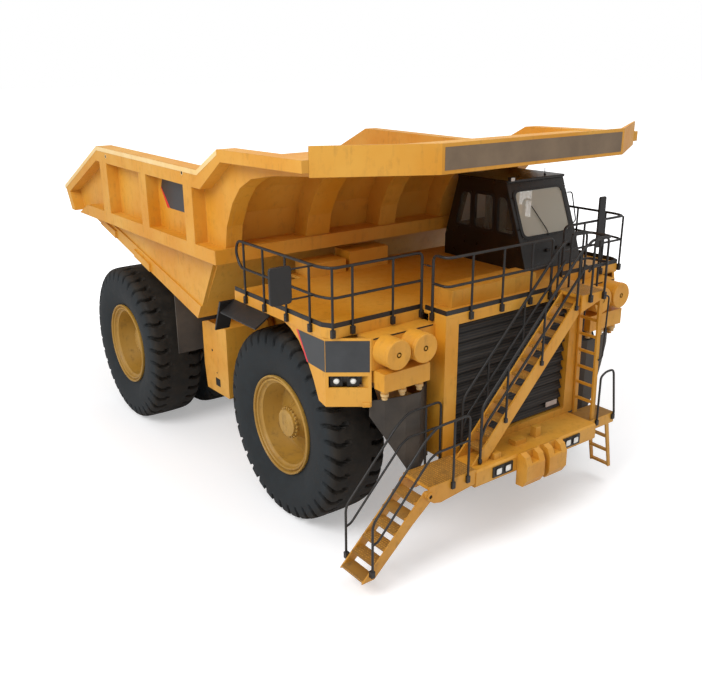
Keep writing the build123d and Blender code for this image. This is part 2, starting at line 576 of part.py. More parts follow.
# Cab on the left deck.
CAB_X1 = DECK_SIDE - 500
CAB_X0 = CAB_X1 - 1600
CAB_WALL = 70
CAB_SIDE = [(-1270, DECK_Z), (-1110, 4480), (-670, 5615), (600, 5615), (950, 4400), (950, DECK_Z)]
CAB_INNER = [(-1190, DECK_Z + 70), (-1035, 4490), (-620, 5545), (548, 5545), (880, 4390), (880, DECK_Z + 70)]
WINDOW_Z0 = 4650
WINDOW_Z1 = 5350
QUARTER_WINDOW = [(-950, WINDOW_Z0), (-700, WINDOW_Z1), (-480, WINDOW_Z1), (-480, WINDOW_Z0)]
REAR_WINDOW = [(230, WINDOW_Z0), (230, WINDOW_Z1), (480, WINDOW_Z1), (660, WINDOW_Z0)]
DOOR_Y0 = -760
DOOR_Y1 = -140
DOOR_Z0 = 4110
DOOR_Z1 = 5440
DOOR_SWING_GAP = 14
DOOR_HINGES = (4250, 5250)
DOOR_PIN_X = CAB_X1 + 34
DOOR_PIN_Y = DOOR_Y1 + 22
DOOR_PIN_R = 12
BARREL_R = 22
BARREL_HALF = 20
BARREL_SIDES = 8
# Each window in a cross panel: x0, x1, first station, last station, z0, z1.
WINDSCREEN = (CAB_X0 + 120, CAB_X1 - 120, -1300, -500, 4600, 5440)
REAR_SCREEN = (CAB_X0 + 300, CAB_X1 - 300, 500, 1000, WINDOW_Z0, WINDOW_Z1)
with BuildPart() as cab_walls:
    for x in (CAB_X0, CAB_X1 - CAB_WALL):
        side_prism(CAB_SIDE, x, x + CAB_WALL)
    side_prism(QUARTER_WINDOW, CAB_X0, CAB_X0 + CAB_WALL, mode=Mode.SUBTRACT)
    box(CAB_X0, CAB_X0 + CAB_WALL, -380, 130, WINDOW_Z0, WINDOW_Z1, mode=Mode.SUBTRACT)
    side_prism(REAR_WINDOW, CAB_X0, CAB_X0 + CAB_WALL, mode=Mode.SUBTRACT)
    box(CAB_X1 - CAB_WALL, CAB_X1, DOOR_Y0, DOOR_Y1, DOOR_Z0, DOOR_Z1, mode=Mode.SUBTRACT)
    box(CAB_X1 - CAB_WALL, CAB_X1, 30, 450, WINDOW_Z0, WINDOW_Z1, mode=Mode.SUBTRACT)
    for z in DOOR_HINGES:
        drum_z(z - 60, z + 60, DOOR_PIN_X, DOOR_PIN_Y, DOOR_PIN_R)
        for z0 in (z - 60, z + BARREL_HALF + 2):
            drum_z(z0, z0 + 38, DOOR_PIN_X, DOOR_PIN_Y, BARREL_R, BARREL_SIDES)
            box(CAB_X1 - 10, CAB_X1 + 26, DOOR_PIN_Y, DOOR_PIN_Y + 58, z0, z0 + 38)

# Cross panels between the walls, mitred where they meet: one for each edge of the side profile.
cab_panels = []
for i, window in enumerate((None, WINDSCREEN, None, REAR_SCREEN, None, None)):
    after = (i + 1) % len(CAB_SIDE)
    with BuildPart() as cab_panel:
        side_prism([CAB_SIDE[i], CAB_SIDE[after], CAB_INNER[after], CAB_INNER[i]], CAB_X0 + CAB_WALL,
                   CAB_X1 - CAB_WALL)
        if window:
            box(*window, mode=Mode.SUBTRACT)
    cab_panels.append(cab_panel.part.solid())
save(Compound(children=[*cab_walls.part.solids(), *cab_panels]), "cab_shell")

GLASS = 12
with BuildPart() as cab_door:
    box(CAB_X1 - CAB_WALL, CAB_X1, DOOR_Y0 + DOOR_SWING_GAP, DOOR_Y1 - PLAY, DOOR_Z0 + PLAY, DOOR_Z1 - PLAY)
    box(CAB_X1 - CAB_WALL, CAB_X1, DOOR_Y0 + 90, DOOR_Y1 - 90, WINDOW_Z0, WINDOW_Z1, mode=Mode.SUBTRACT)
    box(CAB_X1 - 45, CAB_X1 - 45 + GLASS, DOOR_Y0 + 90, DOOR_Y1 - 90, WINDOW_Z0, WINDOW_Z1)
    for z in DOOR_HINGES:
        drum_z(z - BARREL_HALF, z + BARREL_HALF, DOOR_PIN_X, DOOR_PIN_Y, BARREL_R, BARREL_SIDES)
        box(CAB_X1 - 4, CAB_X1 + 16, DOOR_Y1 - 80, DOOR_Y1 - 20, z - BARREL_HALF, z + BARREL_HALF)
        box(CAB_X1 + PLAY, CAB_X1 + 16, DOOR_Y1 - 20, DOOR_PIN_Y, z - BARREL_HALF, z + BARREL_HALF)
        drum_z(z - BARREL_HALF, z + BARREL_HALF, DOOR_PIN_X, DOOR_PIN_Y, DOOR_PIN_R + SEAT, mode=Mode.SUBTRACT)
save(cab_door.part, "cab_door")

with BuildPart() as cab_glass:
    side_prism([(-1063, 4600), (-1051, 4600), (-725, 5440), (-737, 5440)], CAB_X0 + 120, CAB_X1 - 120)
    side_prism(QUARTER_WINDOW, CAB_X0 + 30, CAB_X0 + 30 + GLASS)
    box(CAB_X0 + 30, CAB_X0 + 30 + GLASS, -380, 130, WINDOW_Z0, WINDOW_Z1)
    side_prism(REAR_WINDOW, CAB_X0 + 30, CAB_X0 + 30 + GLASS)
    box(CAB_X1 - 42, CAB_X1 - 42 + GLASS, 30, 450, WINDOW_Z0, WINDOW_Z1)
    side_prism([(835, WINDOW_Z0), (847, WINDOW_Z0), (646, WINDOW_Z1), (634, WINDOW_Z1)],
               CAB_X0 + 300, CAB_X1 - 300)
save(cab_glass.part, "cab_glass")

SEAT_X = CAB_X0 + 550
CAB_FLOOR = DECK_Z + 70
with BuildPart() as cab_interior:
    box(SEAT_X, SEAT_X + 500, -150, 350, CAB_FLOOR, 4450)
    box(SEAT_X, SEAT_X + 500, 250, 380, 4450, 5200)
    box(CAB_X0 + 100, CAB_X1 - 100, -1020, -800, CAB_FLOOR, 4450)
    post((SEAT_X + 250, -800, 4400), (SEAT_X + 250, -600, 4750), 40)
save(cab_interior.part, "cab_interior")

# Mirrors on arms, seated on the handrails' flats.
RAIL_SEAT = TUBE * math.cos(math.pi / RAIL_SIDES) + SEAT
with BuildPart() as mirrors:
    box(-4290, -3920, -1530, -1480, 4420, 4990)
    for z in (RAIL_TOP, RAIL_MID):
        post((-3920, -1505, z), (RX - RAIL_SEAT, -1505, z), 15)
        box(2600, 2700, FY - 50, FY - RAIL_SEAT, z - 20, z + 20)
    box(2560, 2740, FY - 90, FY - 50, 4430, 5380)
save(mirrors.part, "mirrors")

# Lamp panels on the bumper's face.
LAMP_PANELS = ((-1139, -680), (600, 1037))
with BuildPart() as lamps:
    for x0, x1 in LAMP_PANELS:
        box(x0, x1, BUMPER_FRONT - 25, BUMPER_FRONT, 1300, 1480)
save(lamps.part, "bumper_lamps")

# Wheels: every ring has the same number of flats, one of them facing down.
FLATS = 20
BEAD_R = 720
RIM_R = 870
W2 = TYRE_WIDTH / 2
BEAD_X = 0.70 * W2
LUG_DEPTH = 110
NOTCH_R = 120
GROOVE_IN = 0.30 * W2


def ring(xc, y, section):
    """Ring round an axle, from points of x offset and distance of the flats."""
    half_turn = math.pi / FLATS
    corners = []
    for k in range(FLATS):
        a = (2 * k + 1) * half_turn
        corners.append(Vector(xc, st(y) - TYRE_RADIUS * math.sin(a), AXLE_Z + TYRE_RADIUS * math.cos(a)))
    with BuildLine() as path:
        Polyline(*corners, close=True)
    with BuildSketch(Plane.XZ.offset(-st(y))) as profile:
        with BuildLine():
            Polyline(*[(xc + x, AXLE_Z + r) for x, r in section], close=True)
        make_face()
    sweep(sections=profile.sketch, path=path.wires()[0], transition=Transition.RIGHT)


def mirrored(half):
    """A section's half at positive x, closed by its mirror image."""
    return half + [(-x, r) for x, r in reversed(half)]


TYRE_HALF = [(BEAD_X, BEAD_R), (W2, TYRE_RADIUS - 420), (0.975 * W2, TYRE_RADIUS - 175), (0.80 * W2, TYRE_RADIUS)]
with BuildPart() as front_tyre:
    ring(FRONT_WHEEL_X, 0, mirrored(TYRE_HALF))
    # Grooves of V form cut in from each shoulder, staggered by half a pitch, leave the lugs.
    for s in (1, -1):
        with BuildSketch(Plane.YZ.offset(FRONT_WHEEL_X + s * GROOVE_IN)) as grooves:
            with Locations((st(0), AXLE_Z)):
                with PolarLocations(TYRE_RADIUS - LUG_DEPTH + NOTCH_R, FLATS, start_angle=s * 90 / FLATS):
                    RegularPolygon(NOTCH_R, 3, rotation=180)
        extrude(grooves.sketch, amount=s * W2, mode=Mode.SUBTRACT)
save(front_tyre.part, "front_tyre_left")
save(front_tyre.part.mirror(Plane.YZ), "front_tyre_right")

# The rear inner tyre, hidden between its neighbours, keeps the outline without the grooves.
rear_outer = front_tyre.part.moved(Location((DUAL_OUTER_X - FRONT_WHEEL_X, WHEELBASE, 0)))
with BuildPart() as rear_inner:
    ring(DUAL_INNER_X, WHEELBASE, mirrored(TYRE_HALF))
rear_tyres = Compound(children=[*rear_outer.solids(), *rear_inner.part.solids()])
save(rear_tyres, "rear_tyres_left")
save(Compound(children=[tyre.mirror(Plane.YZ) for tyre in rear_tyres.solids()]), "rear_tyres_right")

# Rims: flange, bead seat, gutter and a deep dish with a disc.
FLANGE_X = BEAD_X + (W2 - BEAD_X) * (RIM_R - BEAD_R) / (TYRE_RADIUS - 420 - BEAD_R) + 5
FLANGE_T = 70
DISH_R = BEAD_R - 80
SPINDLE_R = 180
HUB_R = 260
RIM_HALF = [(BEAD_X, BEAD_R - SEAT), (FLANGE_X, RIM_R), (FLANGE_X + FLANGE_T, RIM_R), (FLANGE_X + 40, DISH_R)]
DISC = (-60, 60)
RING_HALF = [(BEAD_X, BEAD_R - SEAT), (FLANGE_X, RIM_R), (FLANGE_X + 40, DISH_R)]
DISHED_RIM = RIM_HALF + [(DISC[1], DISH_R - 20), (DISC[1], HUB_R - 20), (DISC[0], HUB_R - 20),
                         (DISC[0], DISH_R - 20)] + [(-x, r) for x, r in reversed(RING_HALF)]
HUB_FACE = 420
with BuildPart() as front_rim:
    ring(FRONT_WHEEL_X, 0, DISHED_RIM)
    drum_x(FRONT_WHEEL_X + DISC[0], FRONT_WHEEL_X + HUB_FACE - 60, 0, AXLE_Z, HUB_R, TURNED)
    drum_x(FRONT_WHEEL_X + HUB_FACE - 60, FRONT_WHEEL_X + HUB_FACE, 0, AXLE_Z, HUB_R - 60, TURNED)
    drum_x(FRONT_WHEEL_X + DISC[0], FRONT_WHEEL_X + 120, 0, AXLE_Z, SPINDLE_R + SEAT, mode=Mode.SUBTRACT)
save(front_rim.part, "front_rim_left")
save(front_rim.part.mirror(Plane.YZ), "front_rim_right")

# Knuckle: collar on the strut rod, spindle into the hub and a steering arm straight back.
ARM_Y = 640
BALL_R = 45
with BuildPart() as knuckle_left:
    drum_z(1220, 2120, KINGPIN_X, 0, 215, TURNED)
    drum_x(KINGPIN_X, FRONT_WHEEL_X + 118, 0, AXLE_Z, SPINDLE_R)
    plan_prism([(KINGPIN_X + 130, 0), (KINGPIN_X - 130, 0), (KINGPIN_X - 70, ARM_Y + 60),
                (KINGPIN_X + 70, ARM_Y + 60)], 1225, 1310)
    drum_z(1200, 2200, KINGPIN_X, 0, ROD_R + SEAT, mode=Mode.SUBTRACT)
    drum_z(1200, 1400, KINGPIN_X, ARM_Y, BALL_R + SEAT, mode=Mode.SUBTRACT)
save(knuckle_left.part, "knuckle_left")
save(knuckle_left.part.mirror(Plane.YZ), "knuckle_right")

with BuildPart() as tie_rod:
    for s in (1, -1):
        drum_z(1220, 1330, s * KINGPIN_X, ARM_Y, BALL_R)
        drum_z(1100, 1220, s * KINGPIN_X, ARM_Y, 80, VALVE_SIDES)
    post((-KINGPIN_X + 40, ARM_Y, 1160), (KINGPIN_X - 40, ARM_Y, 1160), 45)
save(tie_rod.part, "tie_rod")

# Rear axle: housing with spindles, nose arm to the frame.
SPINDLE_REAR_R = 330
SPINDLE_END = 3100
with BuildPart() as rear_axle:
    drum_x(-560, 560, WHEELBASE, AXLE_Z, 560, CAN_SIDES)
    drum_x(-1150, 1150, WHEELBASE, AXLE_Z, 400, TURNED)
    drum_x(-SPINDLE_END, SPINDLE_END, WHEELBASE, AXLE_Z, SPINDLE_REAR_R)
    side_prism([(WHEELBASE - 2705, AXLE_Z + 15), (WHEELBASE - 2705, AXLE_Z + 315),
                (WHEELBASE - 300, AXLE_Z + 365), (WHEELBASE - 300, AXLE_Z - 235)], -260, 260)
    side_prism([(WHEELBASE, AXLE_Z + 315), (WHEELBASE + 1000, AXLE_Z + 315), (WHEELBASE + 1000, AXLE_Z + 115),
                (WHEELBASE, AXLE_Z - 35)], -450, 450)
save(rear_axle.part, "rear_axle")

STRUT_REAR = (-350, WHEELBASE + 900)
with BuildPart() as strut_rear:
    drum_z(AXLE_Z + 315, 2250, *STRUT_REAR, 90, TURNED)
    drum_z(2250, 2350, *STRUT_REAR, 130, TURNED)
struts = [*strut_right.part.solids(), *strut_rear.part.solids()]
save(both(Compound(children=struts)), "suspension_struts")

# Rear rims: two rings on one hub, the outer one dished towards the truck's side.
HUB_IN = 1180
HUB_REAR_R = 470
HUB_DISC = DUAL_OUTER_X - 120
BAND_HALF = [(BEAD_X, BEAD_R - SEAT), (BEAD_X, DISH_R)]
with BuildPart() as rear_rim:
    ring(DUAL_OUTER_X, WHEELBASE, RIM_HALF + [(-x, r) for x, r in reversed(RING_HALF)])
    ring(DUAL_INNER_X, WHEELBASE, mirrored(BAND_HALF))
    drum_x(HUB_IN, HUB_DISC - 40, WHEELBASE, AXLE_Z, HUB_REAR_R + 30, TURNED)
    for x in (HUB_DISC - 40, DUAL_INNER_X):
        drum_x(x, x + 80, WHEELBASE, AXLE_Z, DISH_R + 20, FLATS)
    drum_x(HUB_DISC + 40, DUAL_OUTER_X + 100, WHEELBASE, AXLE_Z, HUB_REAR_R - 40, TURNED)
    drum_x(DUAL_OUTER_X + 100, DUAL_OUTER_X + 190, WHEELBASE, AXLE_Z, HUB_REAR_R - 170, TURNED)
    drum_x(HUB_IN, SPINDLE_END + 10, WHEELBASE, AXLE_Z, SPINDLE_REAR_R + SEAT, mode=Mode.SUBTRACT)
save(rear_rim.part, "rear_rims_left")
save(rear_rim.part.mirror(Plane.YZ), "rear_rims_right")

# Dump body. Its lower edge rises from the front corner to the tail.
FRONT_LOW = (2629, 3089)
TAIL_LOW = (WHEELBASE + 2536, 4467)
TAIL_MID = (WHEELBASE + 2752, 4859)
TAIL_CORNER = (WHEELBASE + 2867, 5026)


def under(y):
    """Height of the body's lower edge at a station."""
    return FRONT_LOW[1] + (y - FRONT_LOW[0]) * (TAIL_LOW[1] - FRONT_LOW[1]) / (TAIL_LOW[0] - FRONT_LOW[0])


FLOOR_T = 130
RAIL_Z0 = 4479
RAIL_Z1 = 4730
CANOPY_LIP = (-1293, 6410)
CURVE = [(1144, RAIL_Z1), (1060, 5120), (820, 5544), (540, 5830), (162, 6014), (-500, 6130), (-1293, 6202)]
SHEET_FRONT = [(1560, RAIL_Z1), (1450, 5250), (1200, 5700), (800, 6080), (300, 6290), (-500, 6385), CANOPY_LIP]
SHEET_BACK = [(1640, RAIL_Z1 + 20), (1530, 5280), (1260, 5750), (850, 6140), (330, 6350), (-500, 6445),
              (CANOPY_LIP[0], CANOPY_LIP[1] + 60)]
RAIL_LINE = [(-1713, 6480), (796, 6450), (1576, 6050), (WHEELBASE + 456, 6109), TAIL_CORNER]
# Upright ribs: first station, last station, top.
RIBS = ((1813, 2160, 5760), (WHEELBASE - 2096, WHEELBASE - 1765, 5760), (WHEELBASE - 48, WHEELBASE + 344, 5850))
PADS = ((WHEELBASE + 613, WHEELBASE + 1455), (WHEELBASE - 1192, WHEELBASE - 406))
LOW_PLATE = WALL_IN + 7
with BuildPart() as side_right:
    side_prism(CURVE + [(-1713, 6235)] + RAIL_LINE
               + [TAIL_MID, TAIL_LOW, (TAIL_LOW[0] - 441, under(TAIL_LOW[0] - 441)), (TAIL_LOW[0] - 541, RAIL_Z0),
                  (1144, RAIL_Z0)], -WALL_OUT, -WALL_IN)
    side_prism([(1064, RAIL_Z0), (1064, RAIL_Z1), (TAIL_LOW[0] - 1148, RAIL_Z1), (TAIL_LOW[0] - 541, RAIL_Z0)],
               -HALF_ENVELOPE, -WALL_IN)
    side_prism([FRONT_LOW, (1776, RAIL_Z0), (TAIL_LOW[0] + 50, RAIL_Z0), TAIL_LOW], -WALL_IN + 23, -WALL_IN + 100)
    side_prism([FRONT_LOW, (2460, 3364), (TAIL_LOW[0] - 341, RAIL_Z0 + 150), (TAIL_LOW[0] + 50, RAIL_Z0 + 80),
                TAIL_LOW], -LOW_PLATE, -WALL_IN + 23)
    side_prism([(-1713, 6300), *RAIL_LINE, (TAIL_CORNER[0] - 152, 4830), (WHEELBASE + 556, 5792), (1500, 5730),
                (700, 6250)], -HALF_ENVELOPE, -WALL_OUT)
    for y0, y1, top in RIBS:
        box(-HALF_ENVELOPE, -WALL_OUT, y0, y1, RAIL_Z1 - 20, top)
    side_prism([(TAIL_LOW[0] - 211, RAIL_Z0), (TAIL_LOW[0], RAIL_Z0), TAIL_MID, TAIL_CORNER,
                (TAIL_CORNER[0] - 212, 5121), (TAIL_CORNER[0] - 342, 4859)], -HALF_ENVELOPE, -WALL_OUT)
    for y0, y1 in PADS:
        side_prism([(y0, under(y0) + 30), (y1, under(y1) + 30), (y1, under(y1) + 190), (y0, under(y0) + 190)],
                   -LOW_PLATE - 50, -LOW_PLATE)
save(side_right.part, "body_side_right")
with BuildPart() as side_left:
    add(side_right.part.mirror(Plane.YZ))
save(side_left.part, "body_side_left")

FLOOR_HALF = WALL_IN - 100
with BuildPart() as body_floor:
    side_prism([FRONT_LOW, TAIL_LOW, (TAIL_LOW[0], TAIL_LOW[1] + FLOOR_T), (2559, FRONT_LOW[1] + FLOOR_T - 10)],
               -FLOOR_HALF, FLOOR_HALF)
    for s in (1, -1):
        side_prism([(FRONT_LOW[0] + 931, FRAME_TOP + SEAT), (HINGE_Y - 150, FRAME_TOP + SEAT), (HINGE_Y, 2870),
                    (HINGE_Y + 120, 2950), (HINGE_Y + 140, HINGE_Z + 60), (HINGE_Y + 140, under(HINGE_Y + 140)),
                    (FRONT_LOW[0] + 271, under(FRONT_LOW[0] + 271)), (FRONT_LOW[0] + 271, 2980)],
                   s * (RAIL_X0 + PLAY), s * (RAIL_X1 - PLAY))
        for x0, x1 in ((HOIST_X - 120, HOIST_X - EYE_HALF - SEAT), (HOIST_X + EYE_HALF + SEAT, HOIST_X + 120)):
            side_prism([(TOP_PIN[0] - 170, under(TOP_PIN[0] - 170)), (TOP_PIN[0] - 120, TOP_PIN[1] - 100),
                        (TOP_PIN[0] + 120, TOP_PIN[1] - 100), (TOP_PIN[0] + 300, under(TOP_PIN[0] + 300))],
                       s * x0, s * x1)
        drum_x(s * RAIL_X0, s * RAIL_X1, HINGE_Y, HINGE_Z, PIN_R + SEAT, mode=Mode.SUBTRACT)
save(body_floor.part, "body_floor")

# Headboard: sloping lower sheet, curved canopy sheet, cross beam and the bays' stiffeners.
FLOOR_TOP = FRONT_LOW[1] + FLOOR_T - 10
with BuildPart() as headboard:
    side_prism([(2559, FLOOR_TOP), (2659, FLOOR_TOP + 100 * (TAIL_LOW[1] + FLOOR_T - FLOOR_TOP) / (TAIL_LOW[0] - 2559)),
                SHEET_BACK[0], SHEET_FRONT[0]], -FLOOR_HALF, FLOOR_HALF)
    side_prism([(1723, RAIL_Z0), (1825, RAIL_Z0)] + SHEET_BACK + SHEET_FRONT[::-1], -WALL_IN, WALL_IN)
    box(-WALL_IN, WALL_IN, 1064, 1700, RAIL_Z0, RAIL_Z1)
    for x0, x1 in ((-210, 210), (-1900, -1380), (1380, 1900), (-WALL_IN, -WALL_IN + 223), (WALL_IN - 223, WALL_IN)):
        side_prism(CURVE + SHEET_FRONT[::-1], x0, x1)
save(headboard.part, "body_headboard")

CANOPY_HALF = HALF_ENVELOPE - 113
CANOPY_FRONT_HALF = 2071
CANOPY_FRONT = -2661
CANOPY_SIDE_Y = -1714
BAND_T = 61
with BuildPart() as canopy:
    plan_prism([(-WALL_IN, CANOPY_LIP[0]), (-WALL_IN, CANOPY_SIDE_Y - 46), (-CANOPY_FRONT_HALF, CANOPY_FRONT + BAND_T),
                (CANOPY_FRONT_HALF, CANOPY_FRONT + BAND_T), (WALL_IN, CANOPY_SIDE_Y - 46), (WALL_IN, CANOPY_LIP[0])],
               CANOPY_LIP[1], CANOPY_LIP[1] + 60)
    plan_prism([(-CANOPY_HALF, CANOPY_SIDE_Y), (-CANOPY_FRONT_HALF, CANOPY_FRONT), (CANOPY_FRONT_HALF, CANOPY_FRONT),
                (CANOPY_HALF, CANOPY_SIDE_Y), (CANOPY_HALF - 60, CANOPY_SIDE_Y),
                (CANOPY_FRONT_HALF - 21, CANOPY_FRONT + BAND_T), (-CANOPY_FRONT_HALF + 21, CANOPY_FRONT + BAND_T),
                (-CANOPY_HALF + 60, CANOPY_SIDE_Y)], 6235, 6671)
save(canopy.part, "body_canopy")

# Flaps between the front and rear wheels hang from the body's floor.
FLAP_Y = WHEELBASE - 2020
with BuildPart() as flap_right:
    side_prism([(FLAP_Y, under(FLAP_Y)), (FLAP_Y, 1980), (FLAP_Y + 30, 1980), (FLAP_Y + 30, under(FLAP_Y + 30))],
               -FLOOR_HALF + 3, -1260)
save(both(flap_right.part), "body_flaps")

# Hoist cylinders, outside the frame rails.
hoist_run = math.hypot(TOP_PIN[0] - LOW_PIN[0], TOP_PIN[1] - LOW_PIN[1])
hoist_dir = ((TOP_PIN[0] - LOW_PIN[0]) / hoist_run, (TOP_PIN[1] - LOW_PIN[1]) / hoist_run)
HOIST_WALL = 15
ROD = 75


def along(d):
    """Point on the cylinder's line at a distance from the low pin."""
    return (HOIST_X, LOW_PIN[0] + hoist_dir[0] * d, LOW_PIN[1] + hoist_dir[1] * d)


with BuildPart() as hoist_barrel:
    bar(along(90), along(hoist_run - 190), HOIST_R, TURNED)
    drum_x(HOIST_X - 60, HOIST_X + 60, LOW_PIN[0], LOW_PIN[1], LOW_PIN_R + 70, TURNED)
    bar(along(150), along(hoist_run - 240), HOIST_R - HOIST_WALL, TURNED, mode=Mode.SUBTRACT)
    bar(along(hoist_run - 250), along(hoist_run - 150), ROD + SEAT, mode=Mode.SUBTRACT)
    drum_x(HOIST_X - 120, HOIST_X + 120, LOW_PIN[0], LOW_PIN[1], LOW_PIN_R + SEAT, mode=Mode.SUBTRACT)
save(hoist_barrel.part, "hoist_barrel_left")
save(hoist_barrel.part.mirror(Plane.YZ), "hoist_barrel_right")

with BuildPart() as hoist_rod:
    bar(along(152), along(hoist_run), ROD)
    bar(along(152), along(200), HOIST_R - HOIST_WALL - SEAT, TURNED)
    drum_x(HOIST_X - EYE_HALF, HOIST_X + EYE_HALF, TOP_PIN[0], TOP_PIN[1], ROD + 35, TURNED)
save(hoist_rod.part, "hoist_rod_left")
save(hoist_rod.part.mirror(Plane.YZ), "hoist_rod_right")
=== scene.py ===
"""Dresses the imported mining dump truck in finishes, tyres, rims, rails, signs, lamps and trim."""

import json
import math

import bpy
import numpy as np
from mathutils import Matrix, Vector


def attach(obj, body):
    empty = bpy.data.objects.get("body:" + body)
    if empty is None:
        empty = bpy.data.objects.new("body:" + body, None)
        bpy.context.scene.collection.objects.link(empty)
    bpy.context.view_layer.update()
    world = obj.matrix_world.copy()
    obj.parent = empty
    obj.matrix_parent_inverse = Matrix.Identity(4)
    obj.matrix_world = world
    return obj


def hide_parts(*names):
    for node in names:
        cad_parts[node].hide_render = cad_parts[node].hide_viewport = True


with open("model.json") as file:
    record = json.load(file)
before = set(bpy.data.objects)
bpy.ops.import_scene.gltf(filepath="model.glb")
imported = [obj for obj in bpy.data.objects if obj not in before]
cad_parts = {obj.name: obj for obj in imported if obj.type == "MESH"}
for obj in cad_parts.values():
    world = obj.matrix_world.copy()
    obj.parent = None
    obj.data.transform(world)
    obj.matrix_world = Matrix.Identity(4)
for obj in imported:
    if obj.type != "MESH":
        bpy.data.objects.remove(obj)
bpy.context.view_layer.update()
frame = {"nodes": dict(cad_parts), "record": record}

bl_info = {
    "name": "Mining dump truck",
    "version": (1, 0, 0),
    "blender": (4, 5, 0),
    "location": "View3D > Sidebar > Dump Truck",
    "description": "Builds the outer pieces and finishes of a rigid mining dump truck",
    "category": "Add Mesh",
}

# Stations are given in millimetres from the front axle, rearward positive, as on the truck's drawings.
REAR_AXLE = 5905.0
HALF_BASE = REAR_AXLE / 2
AXLE_Z = 1735.0
DECK_Z = 4000.0
SIDES = ((-1, "right"), (1, "left"))


def place(points):
    """Drawing points (x, station, height) in millimetres turned into metres in the shared frame."""
    p = np.asarray(points, float).reshape(-1, 3)
    return (p - (0.0, HALF_BASE, 0.0)) / 1000.0


# Shapes. A shape is a pair: an array of points in millimetres (x, station, height) and a list of faces.


def joined(shapes):
    """One shape from several: point arrays stacked, face numbers shifted by the points before them."""
    points, faces, base = [], [], 0
    for p, f in shapes:
        points.append(p)
        faces.extend([tuple(i + base for i in face) for face in f])
        base += len(p)
    return np.vstack(points), faces


def mirrored(shape):
    """The shape across the truck's middle plane: x becomes minus x, and each face is turned round."""
    points, faces = shape
    return points * (-1.0, 1.0, 1.0), [tuple(reversed(face)) for face in faces]


def both(shape):
    """A shape drawn on the right side together with its mirror image on the left."""
    return joined([shape, mirrored(shape)])


def net(points, wrap_rows, wrap_columns, caps=False):
    """Closed skin over a grid of points: cell (i, j) joins (i, j), (i, j+1), (i+1, j+1) and (i+1, j).

    The volume inside has the sign of the sum of p . (q x r) over the cells' triangles; where that is negative
    every face is turned.
    """
    rows, columns = points.shape[:2]
    i = np.arange(rows if wrap_rows else rows - 1)
    j = np.arange(columns if wrap_columns else columns - 1)
    i, j = (a.ravel() for a in np.meshgrid(i, j, indexing="ij"))
    i2, j2 = (i + 1) % rows, (j + 1) % columns
    quads = np.stack((i * columns + j, i * columns + j2, i2 * columns + j2, i2 * columns + j), 1)
    flat = points.reshape(-1, 3)
    centred = flat - flat.mean(axis=0)
    a, b, c, d = (centred[quads[:, k]] for k in range(4))
    volume = np.einsum("ij,ij->", a, np.cross(b, c)) + np.einsum("ij,ij->", a, np.cross(c, d))
    faces = [tuple(q) for q in quads.tolist()]
    if caps:
        faces.append(tuple(reversed(range(columns))))
        faces.append(tuple(range((rows - 1) * columns, rows * columns)))
        for ring, sign in ((centred[:columns], -1), (centred[-columns:], 1)):
            volume += sign * np.dot(ring[0], np.cross(ring[1:-1], ring[2:]).sum(axis=0))
    if volume < 0:
        faces = [tuple(reversed(face)) for face in faces]
    return flat, faces


def slab(outline, depth):
    """A flat outline carried along a vector: p + t depth, for t from 0 to 1, closed at both ends."""
    p = np.asarray(outline, float)
    return net(np.stack((p, p + np.asarray(depth, float))), False, True, caps=True)


def block(x0, x1, y0, y1, z0, z1):
    """A rectangle in plan carried upwards from z0 to z1."""
    return slab([(x0, y0, z0), (x1, y0, z0), (x1, y1, z0), (x0, y1, z0)], (0, 0, z1 - z0))


# Most of a straight run that one bend may take up.
BEND_SHARE = 0.48


def rounded(points, bend, steps=6):
    """A run of points whose corners are curves: quadratic from bend before a corner to bend after it."""
    p = np.asarray(points, float)
    if len(p) == 2:
        return p
    a, b, c = p[:-2], p[1:-1], p[2:]
    reach = np.broadcast_to(np.asarray(bend, float), (len(b),))[:, None]
    before = np.linalg.norm(a - b, axis=1, keepdims=True)
    after = np.linalg.norm(c - b, axis=1, keepdims=True)
    start = (b + (a - b) * np.minimum(reach / before, BEND_SHARE))[:, None]
    end = (b + (c - b) * np.minimum(reach / after, BEND_SHARE))[:, None]
    t = np.linspace(0, 1, steps + 1)[None, :, None]
    curve = (1 - t) ** 2 * start + 2 * t * (1 - t) * b[:, None] + t ** 2 * end
    return np.vstack((p[:1], curve.reshape(-1, p.shape[1]), p[-1:]))


def rounded_loop(points, bend):
    """A closed outline whose corners are quadratic curves that start and end at bend from the corner."""
    p = np.asarray(points, float)
    return rounded(np.vstack((p[-1:], p, p[:1])), bend, steps=5)[1:-1]


def full_turn(count):
    """The angles of one turn in equal steps."""
    return np.arange(count) * 2 * np.pi / count


def square_to(axis):
    """Two unit directions at right angles to an axis and to each other."""
    first = np.cross(axis, (0.0, 0.0, 1.0) if abs(axis[2]) < 0.9 else (0.0, 1.0, 0.0))
    first /= np.linalg.norm(first)
    return first, np.cross(axis, first)


TUBE_SIDES = 12
# A direction that no tube runs along; the first point of a tube's ring lies square to it.
ASKEW = (0.31, 0.52, 0.8)


def tube(points, radius, bend=60.0):
    """A round bar along a rounded run: centre + radius (cos u, sin u) in the plane that halves each bend."""
    p = rounded(points, bend)
    run = np.gradient(p, axis=0)
    run /= np.linalg.norm(run, axis=1)[:, None]
    across = np.zeros_like(p)
    start = np.cross(run[0], ASKEW)
    across[0] = start / np.linalg.norm(start)
    for i in range(1, len(p)):
        a = across[i - 1] - run[i] * np.dot(across[i - 1], run[i])
        across[i] = a / np.linalg.norm(a)
    over = np.cross(run, across)
    u = full_turn(TUBE_SIDES)
    ring = across[:, None] * np.cos(u)[None, :, None] + over[:, None] * np.sin(u)[None, :, None]
    return net(p[:, None] + radius * ring, False, True, caps=True)


def bar(a, b, radius):
    """A straight round bar between two points."""
    return tube([a, b], radius)


